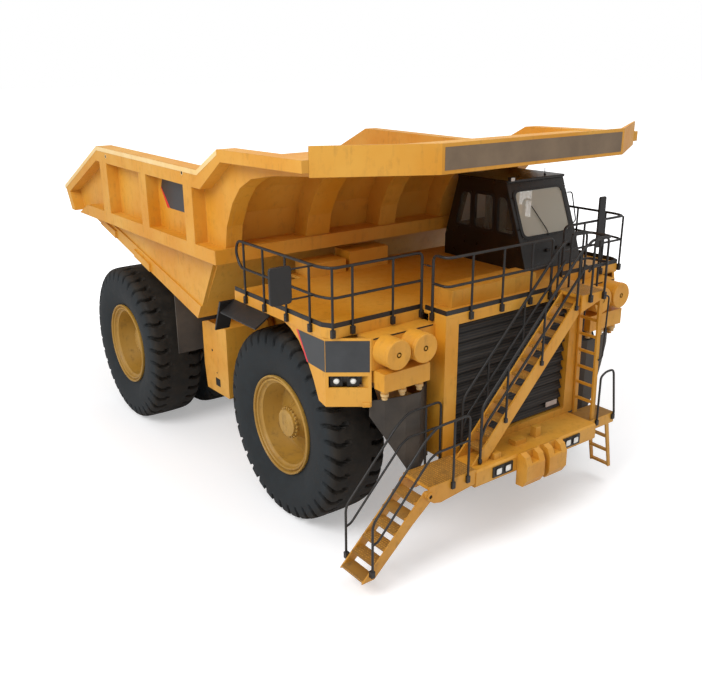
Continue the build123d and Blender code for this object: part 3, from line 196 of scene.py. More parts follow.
def lathe(profile, origin, axis, segments=48, closed=True):
    """A profile of (distance d along the axis, radius r) turned: origin + d axis + r (cos u, sin u)."""
    profile = np.asarray(profile, float)
    axis = np.asarray(axis, float) / np.linalg.norm(axis)
    first, second = square_to(axis)
    u = full_turn(segments)
    ring = first[:, None] * np.cos(u) + second[:, None] * np.sin(u)
    grid = (np.asarray(origin, float)[None, None] + profile[:, 0, None, None] * axis
            + profile[:, 1, None, None] * ring.T[None])
    return net(grid, closed, True, caps=not closed)


def drum(origin, axis, length, radius, edge=0.0, segments=32):
    """A round body from origin along axis, its rims cut back by edge."""
    profile = [(0, radius - edge), (edge, radius), (length - edge, radius), (length, radius - edge)]
    if edge == 0.0:
        profile = [(0, radius), (length, radius)]
    return lathe(profile, origin, axis, segments, closed=False)


def bolts(centre, axis, pitch_radius, count, size, height):
    """Six-sided bolt heads in a circle round an axis."""
    centre, axis = np.asarray(centre, float), np.asarray(axis, float)
    first, second = square_to(axis)
    u = full_turn(count)
    spots = centre + pitch_radius * (np.outer(np.cos(u), first) + np.outer(np.sin(u), second))
    return joined([drum(spot, axis, height, size, segments=6) for spot in spots])


def ring_plate(outline, grow, shrink, depth):
    """A frame round an opening: its outline scaled by grow and by shrink, both carried along depth."""
    p = np.asarray(outline, float)
    middle = p.mean(axis=0)
    outer, inner = middle + (p - middle) * grow, middle + (p - middle) * shrink
    d = np.asarray(depth, float)
    return net(np.stack((outer, inner, inner + d, outer + d)), True, True)


def upright(outline, x=None, y=None):
    """Outline points (a, height) stood up in the plane of a given x (a is the station) or y (a is x)."""
    p = np.asarray(outline, float)
    if y is None:
        return np.column_stack((np.full(len(p), x), p))
    return np.column_stack((p[:, 0], np.full(len(p), y), p[:, 1]))


def rounded_box(x0, x1, y0, y1, z0, z1, bend, flat="y"):
    """A block whose outline across its flat direction has rounded corners."""
    if flat == "y":
        edge = rounded_loop([(x0, z0), (x1, z0), (x1, z1), (x0, z1)], bend)
        return slab(upright(edge, y=y0), (0, y1 - y0, 0))
    edge = rounded_loop([(y0, z0), (y1, z0), (y1, z1), (y0, z1)], bend)
    return slab(upright(edge, x=x0), (x1 - x0, 0, 0))


# Materials. A source is a pair of a node and its output.


def linear(colour):
    """An sRGB hex colour as linear red, green, blue and alpha: ((c + 0.055) / 1.055) ** 2.4 above 0.04045.

    A colour given as three numbers is linear already and only gains its alpha.
    """
    if not isinstance(colour, str):
        return (*colour, 1.0)
    c = np.array([int(colour[i:i + 2], 16) for i in (1, 3, 5)]) / 255.0
    c = np.where(c <= 0.04045, c / 12.92, ((c + 0.055) / 1.055) ** 2.4)
    return (*c.tolist(), 1.0)


def add_node(tree, kind, inputs=None, **settings):
    """One node of a kind with its settings; each input is a value, or a source to link."""
    node = tree.nodes.new(kind)
    for key, value in settings.items():
        setattr(node, key, value)
    for key, value in (inputs or {}).items():
        if isinstance(value, tuple) and len(value) == 2 and isinstance(value[0], bpy.types.Node):
            tree.links.new(value[0].outputs[value[1]], node.inputs[key])
        else:
            node.inputs[key].default_value = value
    return node


def new_material(name):
    """An empty node material, its tree and its Object coordinates as a source."""
    made = bpy.data.materials.new(name)
    made.use_nodes = True
    made.node_tree.nodes.clear()
    where = add_node(made.node_tree, "ShaderNodeTexCoord")
    return made, made.node_tree, (where, "Object")


def ramp(tree, source, stops):
    """A colour ramp over a grey source; stops are (position, colour)."""
    node = add_node(tree, "ShaderNodeValToRGB", {"Fac": source})
    items = node.color_ramp.elements
    while len(items) < len(stops):
        items.new(0.5)
    for item, (position, colour) in zip(items, stops):
        item.position, item.color = position, colour
    return node, 0


def noise(tree, where, millimetres, detail=4.0, rough=0.55):
    """Cloudy noise whose lumps are about that many millimetres across on Object coordinates in metres."""
    return add_node(tree, "ShaderNodeTexNoise", {
        "Vector": where, "Scale": 1000.0 / millimetres, "Detail": detail, "Roughness": rough}), 0


def spread(tree, source, low, high, from_low=0.3, from_high=0.7):
    """A grey source stretched from one range to another."""
    return add_node(tree, "ShaderNodeMapRange", {
        "Value": source, "From Min": from_low, "From Max": from_high, "To Min": low, "To Max": high}), 0


def maths(tree, operation, *inputs, **settings):
    """Arithmetic on one or two inputs."""
    return add_node(tree, "ShaderNodeMath", dict(enumerate(inputs)), operation=operation, **settings), 0


def blended(tree, share, first, second):
    """The first colour turned into the second by a share from 0 to 1."""
    return add_node(tree, "ShaderNodeMix", {0: share, 6: first, 7: second}, data_type="RGBA"), 2


def grey(value):
    """A grey of that linear value."""
    return (value, value, value, 1)


BEVEL_SAMPLES = 3


def finish_surface(tree, colour, rough, height, strength, distance, edge=0.0, **extra):
    """Principled shader with a colour, a roughness and a bump; edge rounds its corners by that many metres."""
    shader = add_node(tree, "ShaderNodeBsdfPrincipled", {"Base Color": colour, "Roughness": rough, **extra})
    bump = {"Height": height, "Strength": strength, "Distance": distance}
    if edge:
        bump["Normal"] = (add_node(tree, "ShaderNodeBevel", {"Radius": edge}, samples=BEVEL_SAMPLES), 0)
    bump = add_node(tree, "ShaderNodeBump", bump)
    tree.links.new(bump.outputs[0], shader.inputs["Normal"])
    add_node(tree, "ShaderNodeOutputMaterial", {"Surface": (shader, 0)})


# Lumps of the enamel's fading, dirt and streaks in millimetres, and how far streaks are drawn out downwards.
FADE_SIZE, DIRT_SIZE, STREAK_SIZE = 1500, 170, 80
STREAK_STRETCH = 0.12
# Heights in metres between which road dust thickens, from none to all.
DUST_HEIGHTS = (2.4, 0.4)


def enamel_colour(tree, where, base, faded, grime, grime_share, low_dust):
    """Broad fading, streaked grime in the hollows of two noises, and road dust that grows towards the ground."""
    broad = noise(tree, where, FADE_SIZE, 3.0)
    fine = noise(tree, where, DIRT_SIZE, 6.0, 0.65)
    stretched = add_node(tree, "ShaderNodeMapping", {"Vector": where, "Scale": (1.0, 1.0, STREAK_STRETCH)})
    streak = noise(tree, (stretched, 0), STREAK_SIZE, 4.0, 0.6)
    fade = ramp(tree, broad, [(0.36, linear(base)), (0.68, linear(faded))])
    soil = maths(tree, "MULTIPLY", fine, streak)
    soil_share = ramp(tree, soil, [(0.27, grey(0.0)), (0.48, grey(grime_share))])
    height = add_node(tree, "ShaderNodeSeparateXYZ", {0: where})
    low = spread(tree, (height, 2), 0.0, low_dust, *DUST_HEIGHTS)
    low_soil = maths(tree, "MULTIPLY", low, fine)
    total = maths(tree, "ADD", soil_share, low_soil, use_clamp=True)
    return blended(tree, total, fade, linear(grime)), fine


# Width in metres of an edge's pale band, partly rubbed wear and partly painted highlight, and how far the normal
# turns there, as a cosine, from none to all.
EDGE_WEAR_AND_HIGHLIGHT_WIDTH = 0.02
EDGE_WEAR_AND_HIGHLIGHT_TURN = (0.995, 0.90)
ROUNDED_EDGE = 0.012
# Orange peel of sprayed enamel: lumps in millimetres, strength and depth in metres.
PEEL_SIZE, PEEL_STRENGTH, PEEL_DEPTH = 24, 0.10, 0.003


def painted(name, base, faded, grime, low_dust=0.5, rough=(0.40, 0.58), grime_share=0.3, edge_wear_and_highlight=0.3):
    """Sprayed enamel on welded plate: fading, grime and dust, paler at edges as rubbed wear and as painted
    highlight, with faint orange peel.
    """
    made, tree, where = new_material(name)
    colour, fine = enamel_colour(tree, where, base, faded, grime, grime_share, low_dust)
    # Edges blend towards the faded colour: partly rubbed wear, partly a painted highlight where an edge catches
    # the light.
    bevel = add_node(tree, "ShaderNodeBevel", {"Radius": EDGE_WEAR_AND_HIGHLIGHT_WIDTH}, samples=BEVEL_SAMPLES)
    flat = add_node(tree, "ShaderNodeNewGeometry")
    turn = add_node(tree, "ShaderNodeVectorMath", {0: (bevel, 0), 1: (flat, "True Normal")},
                    operation="DOT_PRODUCT")
    share = spread(tree, (turn, 1), 0.0, edge_wear_and_highlight, *EDGE_WEAR_AND_HIGHLIGHT_TURN)
    colour = blended(tree, share, colour, linear(faded))
    gloss = spread(tree, fine, *rough)
    grain = noise(tree, where, PEEL_SIZE, 3.0)
    finish_surface(tree, colour, gloss, grain, PEEL_STRENGTH, PEEL_DEPTH, ROUNDED_EDGE)
    return made


GRAIN_DEPTH = 0.003


def plain(name, base, second, rough=0.5, size=200, bump_size=12, bump=0.15, **extra):
    """A two-tone surface of cloudy noise with a fine grain in its height."""
    made, tree, where = new_material(name)
    cloud = noise(tree, where, size, 5.0, 0.6)
    tone = ramp(tree, cloud, [(0.35, linear(base)), (0.68, linear(second))])
    gloss = spread(tree, cloud, rough * 0.85, min(1.0, rough * 1.2))
    grain = noise(tree, where, bump_size, 3.0)
    finish_surface(tree, tone, gloss, grain, bump, GRAIN_DEPTH, **extra)
    return made


# Distances from a cell's middle, in cells, between which a button falls away to the plate.
BUTTON_EDGE = (0.26, 0.36)
BUTTON_HEIGHT = 0.006


def tread_plate(name, base, faded, grime, pitch):
    """Pressed walking plate: round buttons on a grid of cells, dirt lying between them."""
    made, tree, where = new_material(name)
    colour, fine = enamel_colour(tree, where, base, faded, grime, 0.5, 0.3)
    dots = add_node(tree, "ShaderNodeTexVoronoi", {
        "Vector": where, "Scale": 1000.0 / pitch, "Randomness": 0.25})
    button = spread(tree, (dots, 0), 1.0, 0.0, *BUTTON_EDGE)
    gap = spread(tree, button, 0.55, 0.0, 0.0, 1.0)
    tone = blended(tree, gap, colour, linear(grime))
    gloss = spread(tree, fine, 0.5, 0.72)
    finish_surface(tree, tone, gloss, button, 0.6, BUTTON_HEIGHT)
    return made


SLAT_DEPTH = 0.008


def slatted_with_painted_shade(name, base, second, pitch):
    """Pressed steel louvres: fine ridges at an even pitch in height, dust lying on them in patches, the troughs
    near-black as painted shade.
    """
    made, tree, where = new_material(name)
    cloud = noise(tree, where, 260, 5.0, 0.65)
    height = add_node(tree, "ShaderNodeSeparateXYZ", {0: where})
    turns = maths(tree, "MULTIPLY", (height, 2), 2 * math.pi * 1000.0 / pitch)
    ridge = spread(tree, maths(tree, "SINE", turns), 0.0, 1.0, -1.0, 1.0)
    mixed = maths(tree, "MULTIPLY", ridge, cloud)
    # Troughs go near-black as painted shade of the slots; dust lightens the ridges in patches.
    tone = ramp(tree, mixed, [(0.10, linear(base)), (0.55, linear(second))])
    gloss = spread(tree, cloud, 0.5, 0.7)
    finish_surface(tree, tone, gloss, ridge, 0.5, SLAT_DEPTH)
    return made


def tyre_material(name):
    """Moulded tyre rubber: bluish sidewall, and brown dust on the tread by the piece's dust attribute."""
    made, tree, where = new_material(name)
    dust = add_node(tree, "ShaderNodeAttribute", attribute_name="dust")
    cloud = noise(tree, where, 220, 6.0, 0.62)
    side = ramp(tree, cloud, [(0.30, linear("#16191B")), (0.75, linear("#292E31"))])
    tread = ramp(tree, cloud, [(0.30, linear("#13110E")), (0.72, linear("#2E2821"))])
    tone = blended(tree, (dust, 2), side, tread)
    grain = noise(tree, where, 9, 4.0, 0.6)
    gloss = spread(tree, cloud, 0.62, 0.84)
    finish_surface(tree, tone, gloss, grain, 0.25, 0.004, **{"Specular IOR Level": 0.3})
    return made


# Height part of the screen's normal, where the pale film on the glass, dust and painted sky reflection together,
# is full.
SCREEN_LEAN = 0.35


def glass_material(name, film, upright_share, leaning_share):
    """Float glass under a pale film, partly dust and partly a painted reflection of the sky, which covers more of
    a pane the further it leans back.

    The film's share grows with the height part of the pane's own normal, from 0 upright to the screen's lean.
    """
    made, tree, where = new_material(name)
    cloud = noise(tree, where, 300, 2.0)
    gloss = spread(tree, cloud, 0.03, 0.10)
    facing = add_node(tree, "ShaderNodeNewGeometry")
    parts = add_node(tree, "ShaderNodeSeparateXYZ", {0: (facing, "True Normal")})
    # The pale film's share: dust and a painted sky reflection, growing as the pane leans back.
    share = spread(tree, maths(tree, "ABSOLUTE", (parts, 2)), upright_share, leaning_share, 0.0, SCREEN_LEAN)
    shader = add_node(tree, "ShaderNodeBsdfPrincipled", {
        "Base Color": linear(film), "Roughness": gloss, "IOR": 1.5, "Alpha": share})
    add_node(tree, "ShaderNodeOutputMaterial", {"Surface": (shader, 0)})
    return made


# Machine enamel: fresh, faded and under grime.
ENAMEL = ("#D08C1E", "#D89F3C", "#6B4A20")


def build_materials(enamel):
    """All finishes of the truck by name; the first ones carry the names of the record's slots."""
    made = {}
    # Sprayed machine enamel: satin, slightly faded, dust in the hollows, paler at edges, partly worn and partly
    # painted highlight.
    made["machine_yellow"] = painted("yellow_enamel_sprayed", enamel, *ENAMEL[1:])
    # Dark enamel on tube and plate: satin near-black with brown dust.
    made["dark_paint"] = painted("dark_enamel_sprayed", "#141211", "#1F1C1A", "#3C3228", low_dust=0.3,
                                 rough=(0.38, 0.55), grime_share=0.22, edge_wear_and_highlight=0.1)
    # Calendered rubber sheet: matt, grey with dust.
    made["rubber_sheet"] = plain("rubber_sheet_calendered", "#3A3530", "#554C43", rough=0.8, size=700,
                                 bump_size=30)
    # Cab enamel: darker and glossier than the rails, brownish with dust.
    made["cab_dark"] = painted("cab_enamel_sprayed", "#18130E", "#241C15", "#3E3122", low_dust=0.0,
                               rough=(0.25, 0.40), grime_share=0.3, edge_wear_and_highlight=0.25)
    # Float glass with a pale film, partly dust and partly a painted reflection of the sky: bright where it faces
    # the sky, the seat behind it still seen.
    made["window_glass"] = glass_material("float_glass_dust_and_sky_reflection", "#DCDACB", 0.07, 0.62)
    # Grained plastic of the seat and the controls: dull olive grey with a fine leathery grain.
    made["seat_plastic"] = plain("abs_plastic_grained", "#4A4B40", "#5E5F50", rough=0.62, size=90, bump_size=5)
    # Cast iron parts, painted and dusty: rough with a coarse grain.
    made["cast_metal"] = plain("cast_iron_painted", "#4A3A26", "#6B5433", rough=0.66, size=180, bump_size=16,
                               bump=0.3)
    # Moulded tyre rubber: soft-edged bluish black, brown where the tread meets the road.
    made["tyre_rubber"] = tyre_material("tyre_rubber_moulded")
    # Ground steel of rods and mirror panes: bright, with a barely seen grain.
    made["bare_steel"] = plain("steel_ground", "#8D8D8C", "#A5A5A3", rough=0.28, size=60, bump_size=4, bump=0.05,
                               Metallic=1.0)
    # Pressed louvres of the radiator, 42 mm apart: near-black slots of painted shade under dusty ridges.
    made["grille_dark"] = slatted_with_painted_shade("grille_steel_pressed_slot_shade", "#120F0C", "#352B22", 42)
    # Moulded lamp lens: pale and glossy, slightly uneven as pressed glass is.
    made["lamp_glass"] = plain("lamp_lens_moulded", "#DAD7CE", "#F4F3EF", rough=0.12, size=60, bump_size=14)
    # Films laid on the sheet: even colour and a low sheen, the canopy's bleached brown by the weather.
    for slot, name, base, second, rough, size, bump in (
            ("red_stripe", "vinyl_film_red", "#C81E28", "#D6272F", 0.34, 300, 0.03),
            ("sign_dark", "vinyl_film_dark", "#2E3032", "#3A3C3E", 0.38, 400, 0.03),
            ("band_brown", "vinyl_film_weathered", "#6E5A44", "#7E6951", 0.45, 500, 0.04)):
        made[slot] = plain(name, base, second, rough=rough, size=size, bump_size=40, bump=bump)
    # Painted shade: matt black discs and strips standing in for the shade inside holes, openings and slots.
    made["painted_shade_black"] = plain("painted_shade_of_openings", "#0E0C0A", "#171411", rough=0.8)
    # Anodised aluminium plate: pale and soft, without a mirror's shine.
    made["pale_plate"] = plain("aluminium_plate_anodised", "#A99E98", "#BDB2AB", rough=0.42, size=90,
                               bump_size=20)
    # Enamel rubbed thin along the body's top rail, paler also as a painted highlight there, and enamel under thick
    # dust on the valves.
    made["rubbed_and_highlit_yellow"] = painted("yellow_enamel_rubbed_and_highlit", "#EAC27A", "#F0D29A", ENAMEL[2], grime_share=0.2)
    made["dusty_yellow"] = painted("yellow_enamel_dusty", "#C9A465", "#D2B27C", ENAMEL[2], grime_share=0.5)
    # Wheel enamel under road dust: duller and browner than the sheet metal, dustiest towards the ground.
    made["rim_yellow"] = painted("wheel_enamel_sprayed", "#A67A26", "#B48C40", "#54401F", low_dust=0.4,
                                 grime_share=0.55)
    # Pressed walking plate, 46 mm between its buttons: yellow on top of them, brown dirt between.
    made["tread_yellow"] = tread_plate("walking_plate_pressed", "#C4862A", "#CE963E", "#4E3818", 46)
    return made


MATERIALS = {}
# Edges that turn by more than this many degrees are cut by a piece's bevel.
BEVEL_ANGLE = 40


def piece(name, shape, body, slot, finish=None, bevel=0.0, smooth_angle=35.0, replaces=()):
    """A mesh object from a shape, riding on a body, with its slot, finish, smooth faces and worked edges."""
    points, faces = shape
    mesh = bpy.data.meshes.new(name)
    mesh.from_pydata(place(points).tolist(), [], faces)
    mesh.shade_smooth()
    mesh.set_sharp_from_angle(angle=math.radians(smooth_angle))
    made = bpy.data.objects.new(name, mesh)
    bpy.context.scene.collection.objects.link(made)
    mesh.materials.append(MATERIALS[finish or slot])
    if bevel:
        cut = made.modifiers.new("edge", "BEVEL")
        cut.width = bevel / 1000.0
        cut.segments = 2
        cut.limit_method = "ANGLE"
        cut.angle_limit = math.radians(BEVEL_ANGLE)
    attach(made, body)
    if replaces:
        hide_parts(*replaces)
    return made


# Tyres.


def smooth_profile(points, count):
    """A closed run of points as a Catmull-Rom curve sampled count times between each pair."""
    p = np.asarray(points, float)
    a, b, c, d = (np.roll(p, s, axis=0)[:, None] for s in (1, 0, -1, -2))
    t = (np.arange(count) / count)[None, :, None]
    curve = 0.5 * (2 * b + (c - a) * t + (2 * a - 5 * b + 4 * c - d) * t ** 2
                   + (3 * b - a - 3 * c + d) * t ** 3)
    return curve.reshape(-1, 2)


# Half of a tyre's section from the bead, which sits in the rim, to the crown: (offset from its middle, radius).
TYRE_HALF = [(415, 785), (452, 880), (520, 1060), (560, 1250), (566, 1420), (548, 1560), (520, 1650),
             (470, 1706), (380, 1726), (200, 1733)]
TYRE_OUTLINE = [(-s, r) for s, r in TYRE_HALF] + [(0, 1735)] + TYRE_HALF[::-1] + [(0, 790)]
TYRE_HALF_WIDTH = 570.0
OUTLINE_STEPS = 3
LUG_COUNT = 36
STEPS_PER_LUG = 20
GROOVE_DEPTH = 88.0
GROOVE_HALF = 46.0
# How far a groove leans, in lug pitches, and how much of its half width its wall takes.
GROOVE_LEAN = 0.28
GROOVE_WALL = 0.45
# Shares of the half width: where grooves begin, and where they start to cut inwards as well.
GROOVE_START = 0.36
SHOULDER = 0.85
# Radii from which grooves begin and dust lies, with the heights over which both grow to full.
GROOVE_FOOT, GROOVE_RISE = 1480.0, 90.0
DUST_FOOT, DUST_RISE = 1560.0, 130.0
# The shallow ring that joins the grooves' inner ends: share of the half width, spread, depth and lowest radius.
RING_AT, RING_SPREAD, RING_DEPTH, RING_FOOT = 0.37, 0.022, 30.0, 1600


def tyre_shape(x, y):
    """Outline curve turned round the axle and pushed in by the grooves.

    Point = (x + s, r(s) - depth(s, u)) at angle u. Across a groove the depth is a smooth step of the distance
    from its middle line, which leans with s; grooves run from each shoulder to a third of the width, half a
    pitch apart on the two shoulders, and a shallow ring joins their inner ends.
    """
    outline = smooth_profile(TYRE_OUTLINE, OUTLINE_STEPS)
    s, r = outline[:, 0], outline[:, 1]
    u = full_turn(LUG_COUNT * STEPS_PER_LUG)
    share = np.abs(s) / TYRE_HALF_WIDTH
    pitch = 2 * np.pi / LUG_COUNT
    lean = GROOVE_LEAN * pitch * np.sin(np.clip((share - 0.35) / 0.6, 0, 1) * np.pi)
    phase = np.where(s < 0, 0.0, 0.5 * pitch)
    away = (u[None, :] - phase[:, None] - lean[:, None] + pitch / 2) % pitch - pitch / 2
    reach = np.clip((share - GROOVE_START) / 0.06, 0, 1) * np.clip((r - GROOVE_FOOT) / GROOVE_RISE, 0, 1)
    width = GROOVE_HALF / AXLE_Z
    wall = np.clip((width - np.abs(away)) / (width * GROOVE_WALL), 0, 1)
    wall = wall * wall * (3 - 2 * wall)
    depth = GROOVE_DEPTH * reach[:, None] * wall
    ring = np.exp(-((share - RING_AT) / RING_SPREAD) ** 2) * (r > RING_FOOT)
    scallop = np.clip(0.25 - np.cos(away / pitch * 2 * np.pi), 0, 1)
    depth = np.maximum(depth, RING_DEPTH * ring[:, None] * scallop)
    radial = r[:, None] - depth * np.where(share < SHOULDER, 1.0, 0.85)[:, None]
    inward = depth * np.where(share > SHOULDER, 0.5, 0.0)[:, None] * -np.sign(s)[:, None]
    grid = np.stack((x + s[:, None] + inward, y - radial * np.sin(u), AXLE_Z + radial * np.cos(u)), 2)
    dust = np.clip((r - DUST_FOOT) / DUST_RISE, 0, 1)[:, None] * np.ones((1, len(u)))
    return net(grid, True, True), dust.ravel()


def tyre_piece(name, body, node, spots):
    """One or two tyres of a wheel as one mesh, with the dust attribute that its rubber reads."""
    made, dust = zip(*(tyre_shape(x, y) for x, y in spots))
    result = piece(name, joined(made), body, "tyre_rubber", smooth_angle=50, replaces=(node,))
    layer = result.data.attributes.new("dust", "FLOAT", "POINT")
    layer.data.foreach_set("value", np.concatenate(dust).astype(np.float32))


# Rims. Each profile is (distance outwards from the tyre's middle, radius).

RIM_LIP = [(452, 892), (484, 900), (512, 894), (522, 874), (502, 858), (470, 854), (460, 842), (484, 828),
           (494, 808), (478, 792), (440, 784), (420, 768), (405, 742)]
RIM_BACK = [(0, 640), (-380, 705), (-430, 880), (-400, 892), (-380, 780), (380, 780), (430, 880)]
FRONT_DISH = [(60, 690), (20, 668), (8, 600), (12, 430), (40, 360), (150, 300), (240, 268), (300, 262),
              (312, 250), (366, 246), (372, 238), (372, 60), (378, 52), (378, 0.5), (0, 0.5)]
REAR_DISH = [(-60, 690), (-110, 672), (-120, 640), (-118, 500), (-60, 470), (40, 452), (96, 448), (104, 436),
             (104, 330), (112, 318), (176, 304), (190, 292), (190, 96), (204, 84), (204, 0.5), (-130, 0.5)]
INNER_RIM = [(-446, 870), (-446, 780), (446, 780), (446, 870), (400, 745), (398, 660), (-398, 660), (-400, 745)]
# Middles of the tyres: front, rear outer and rear inner.
FRONT_X, OUTER_X, INNER_X = 2805, 3232, 1730


def rim_shape(x, y, sign, dish):
    """Lip, gutter, dish and hub turned about the axle."""
    return lathe(RIM_LIP + dish + RIM_BACK, (x, y, AXLE_Z), (sign, 0, 0), 96)


# Bosses of the dish: turn from straight up, rearward positive, and distance from the axle.
BOSSES = ((0.42, 560.0), (0.42 + math.pi, 560.0))


def boss_places(x):
    """Where the bosses' middles stand on the front wheel's dish."""
    return [(x, reach * math.sin(turn), AXLE_Z + reach * math.cos(turn)) for turn, reach in BOSSES]


def front_hub_trim(x, sign):
    """Toothed bolt circle on the hub, centre plug and two bosses in the dish."""
    parts = [bolts((x + sign * 290, 0, AXLE_Z), (sign, 0, 0), 266, 22, 25, 38)]
    parts.append(drum((x + sign * 378, 0, AXLE_Z), (sign, 0, 0), 6, 20, 2, 20))
    parts.extend(drum(at, (sign, 0, 0), 44, 62, 5, 24) for at in boss_places(x + sign * 6))
    return joined(parts)


def rear_hub_trim(x, sign):
    """Two bolt circles on the stepped rear hub and a ring round its cover."""
    parts = [bolts((x + sign * 96, REAR_AXLE, AXLE_Z), (sign, 0, 0), 412, 36, 17, 24)]
    parts.append(bolts((x + sign * 190, REAR_AXLE, AXLE_Z), (sign, 0, 0), 262, 20, 14, 16))
    parts.append(drum((x + sign * 190, REAR_AXLE, AXLE_Z), (sign, 0, 0), 12, 180, 4, 40))
    return joined(parts)


def build_wheels():
    """Each wheel's tyres, rim and hub trim."""
    for side, word in SIDES:
        front, rear = f"front_wheel_{word}", f"rear_wheels_{word}"
        x_front, x_outer, x_inner = side * FRONT_X, side * OUTER_X, side * INNER_X
        axis = (side, 0, 0)
        tyre_piece(f"tyre_front_{word}", front, f"front_tyre_{word}", [(x_front, 0)])
        tyre_piece(f"tyres_rear_{word}", rear, f"rear_tyres_{word}",
                   [(x_outer, REAR_AXLE), (x_inner, REAR_AXLE)])
        piece(f"rim_front_{word}", rim_shape(x_front, 0, side, FRONT_DISH), front, "machine_yellow",
              "rim_yellow", smooth_angle=30, replaces=(f"front_rim_{word}",))
        piece(f"hub_front_{word}", front_hub_trim(x_front, side), front, "machine_yellow", "rim_yellow")
        # Black discs in the bosses are painted shade standing in for their holes.
        hole_shade_discs = joined([drum(at, axis, 47, 38, segments=16) for at in boss_places(x_front + side * 6)])
        piece(f"boss_hole_shade_{word}", hole_shade_discs, front, "machine_yellow", "painted_shade_black")
        inner = lathe(INNER_RIM, (x_inner, REAR_AXLE, AXLE_Z), axis, 72)
        web = drum((x_inner, REAR_AXLE, AXLE_Z), axis, 80, 700, 0, 48)
        neck = drum((side * 1180, REAR_AXLE, AXLE_Z), axis, 1920, 480, 10, 48)
        rims = joined([rim_shape(x_outer, REAR_AXLE, side, REAR_DISH), inner, web, neck])
        piece(f"rims_rear_{word}", rims, rear, "machine_yellow", "rim_yellow", smooth_angle=30,
              replaces=(f"rear_rims_{word}",))
        piece(f"hub_rear_{word}", rear_hub_trim(x_outer, side), rear, "machine_yellow", "rim_yellow")


# Handrails. Tubes with rounded bends; posts stand in clamps on the deck's edge.

RAIL_TOP = DECK_Z + 925
RAIL_MID = DECK_Z + 470
FOOT_Z = DECK_Z - 120
RAIL_BEND = 110.0
# A middle rail's radius as a share of the upper rail's.
MIDDLE_SHARE = 0.92
# Where the rails stand: the right and left sides, the decks' front, and the centre rail's side and front.
RX = -3520.0
LX = 3520.0
FY = -1850.0
CX = -1673.0
CY = -2420.0
CORNER_X = 3430.0
CORNER_Y = -1620.0


def clamp(x, y, out_x, out_y):
    """A foot clamp round a post: a rounded block and a bolt head, facing outwards along (out_x, out_y)."""
    half_x, half_y = 35 - 6 * abs(out_x), 35 - 6 * abs(out_y)
    cx, cy = x + 4 * out_x, y + 4 * out_y
    body = block(cx - half_x, cx + half_x, cy - half_y, cy + half_y, DECK_Z - 140, DECK_Z - 14)
    head = drum((cx + out_x * half_x, cy + out_y * half_y, DECK_Z - 76), (out_x, out_y, 0), 10, 13, segments=6)
    return joined([body, head])


def deck_rail(word, path, middle, posts, ends, radius, post_radius, others=()):
    """Outer tube, middle tube and posts as one piece, the clamps of posts and ends as another.

    Each post or end is (x, y, outward x, outward y).
    """
    parts = [tube(path, radius, RAIL_BEND), tube(middle, radius * MIDDLE_SHARE, RAIL_BEND)]
    parts.extend(bar((x, y, FOOT_Z), (x, y, RAIL_TOP - 4), post_radius) for x, y, _, _ in posts)
    piece(f"rail_{word}", joined([*parts, *others]), "chassis", "dark_paint", replaces=(f"handrails_{word}",))
    feet = joined([clamp(*foot) for foot in (*posts, *ends)])
    piece(f"rail_{word}_clamps", feet, "chassis", "dark_paint", bevel=6)


RIGHT_POSTS = ([(RX, y, -1, 0) for y in (598, -26, -705, -1378)]
               + [(x, FY, 0, -1) for x in (-CORNER_X, -3060, -2280)])
CENTRE_POSTS = [(x, CY, 0, -1) for x in (-1132, -434, 245)]
LEFT_POSTS = ([(LX, y, 1, 0) for y in (725, 60, -700, -1378)]
              + [(x, FY, 0, -1) for x in (2280, 2860, CORNER_X)])


def build_deck_rails(radius, post_radius):
    """The three deck handrails, the hoops of the stair's landing and the link between two rails."""
    deck_rail(
        "right",
        [(-1690, FY, FOOT_Z), (-1690, FY, RAIL_TOP), (-CORNER_X, FY, RAIL_TOP), (RX, CORNER_Y, RAIL_TOP),
         (RX, 790, RAIL_TOP), (RX, 868, RAIL_TOP - 225), (RX, 720, RAIL_MID), (RX, 560, RAIL_MID)],
        [(-1690, FY, RAIL_MID), (-CORNER_X, FY, RAIL_MID), (RX, CORNER_Y, RAIL_MID), (RX, 600, RAIL_MID)],
        RIGHT_POSTS, [(-1690, FY, 0, -1)], radius, post_radius)
    deck_rail(
        "centre",
        [(CX, -2094, FOOT_Z), (CX, -2094, RAIL_TOP), (CX, CY, RAIL_TOP), (745, CY, RAIL_TOP),
         (745, CY, FOOT_Z)],
        [(CX, -2094, RAIL_MID), (CX, CY, RAIL_MID), (745, CY, RAIL_MID)],
        CENTRE_POSTS, [(CX, -2094, -1, 0), (745, CY, 0, -1)], radius, post_radius)
    deck_rail(
        "left",
        [(1720, FY, FOOT_Z), (1720, FY, RAIL_TOP), (CORNER_X, FY, RAIL_TOP), (LX, CORNER_Y, RAIL_TOP),
         (LX, 770, RAIL_TOP), (LX, 770, RAIL_MID), (LX, 600, RAIL_MID)],
        [(1720, FY, RAIL_MID), (CORNER_X, FY, RAIL_MID), (LX, CORNER_Y, RAIL_MID), (LX, 640, RAIL_MID)],
        LEFT_POSTS, [(1720, FY, 0, -1), (1140, -2970, 0, -1), (1500, -2970, 0, -1)], radius, post_radius,
        [landing_hoops(radius, post_radius)])
    link = joined([bar((-1690, FY - 18, LINK_Z), (CX, -2078, LINK_Z), 9),
                   drum((-1684, -1960, LINK_Z), (0.07, -1, 0), 62, 17, 4, 12)])
    piece("rail_link", link, "chassis", "dark_paint")


LINK_Z = 4736
# The landing's deck, and the height where the stair's upper rail meets the landing's.
LANDING_Z = DECK_Z + 4
MEETING_Z = 4862


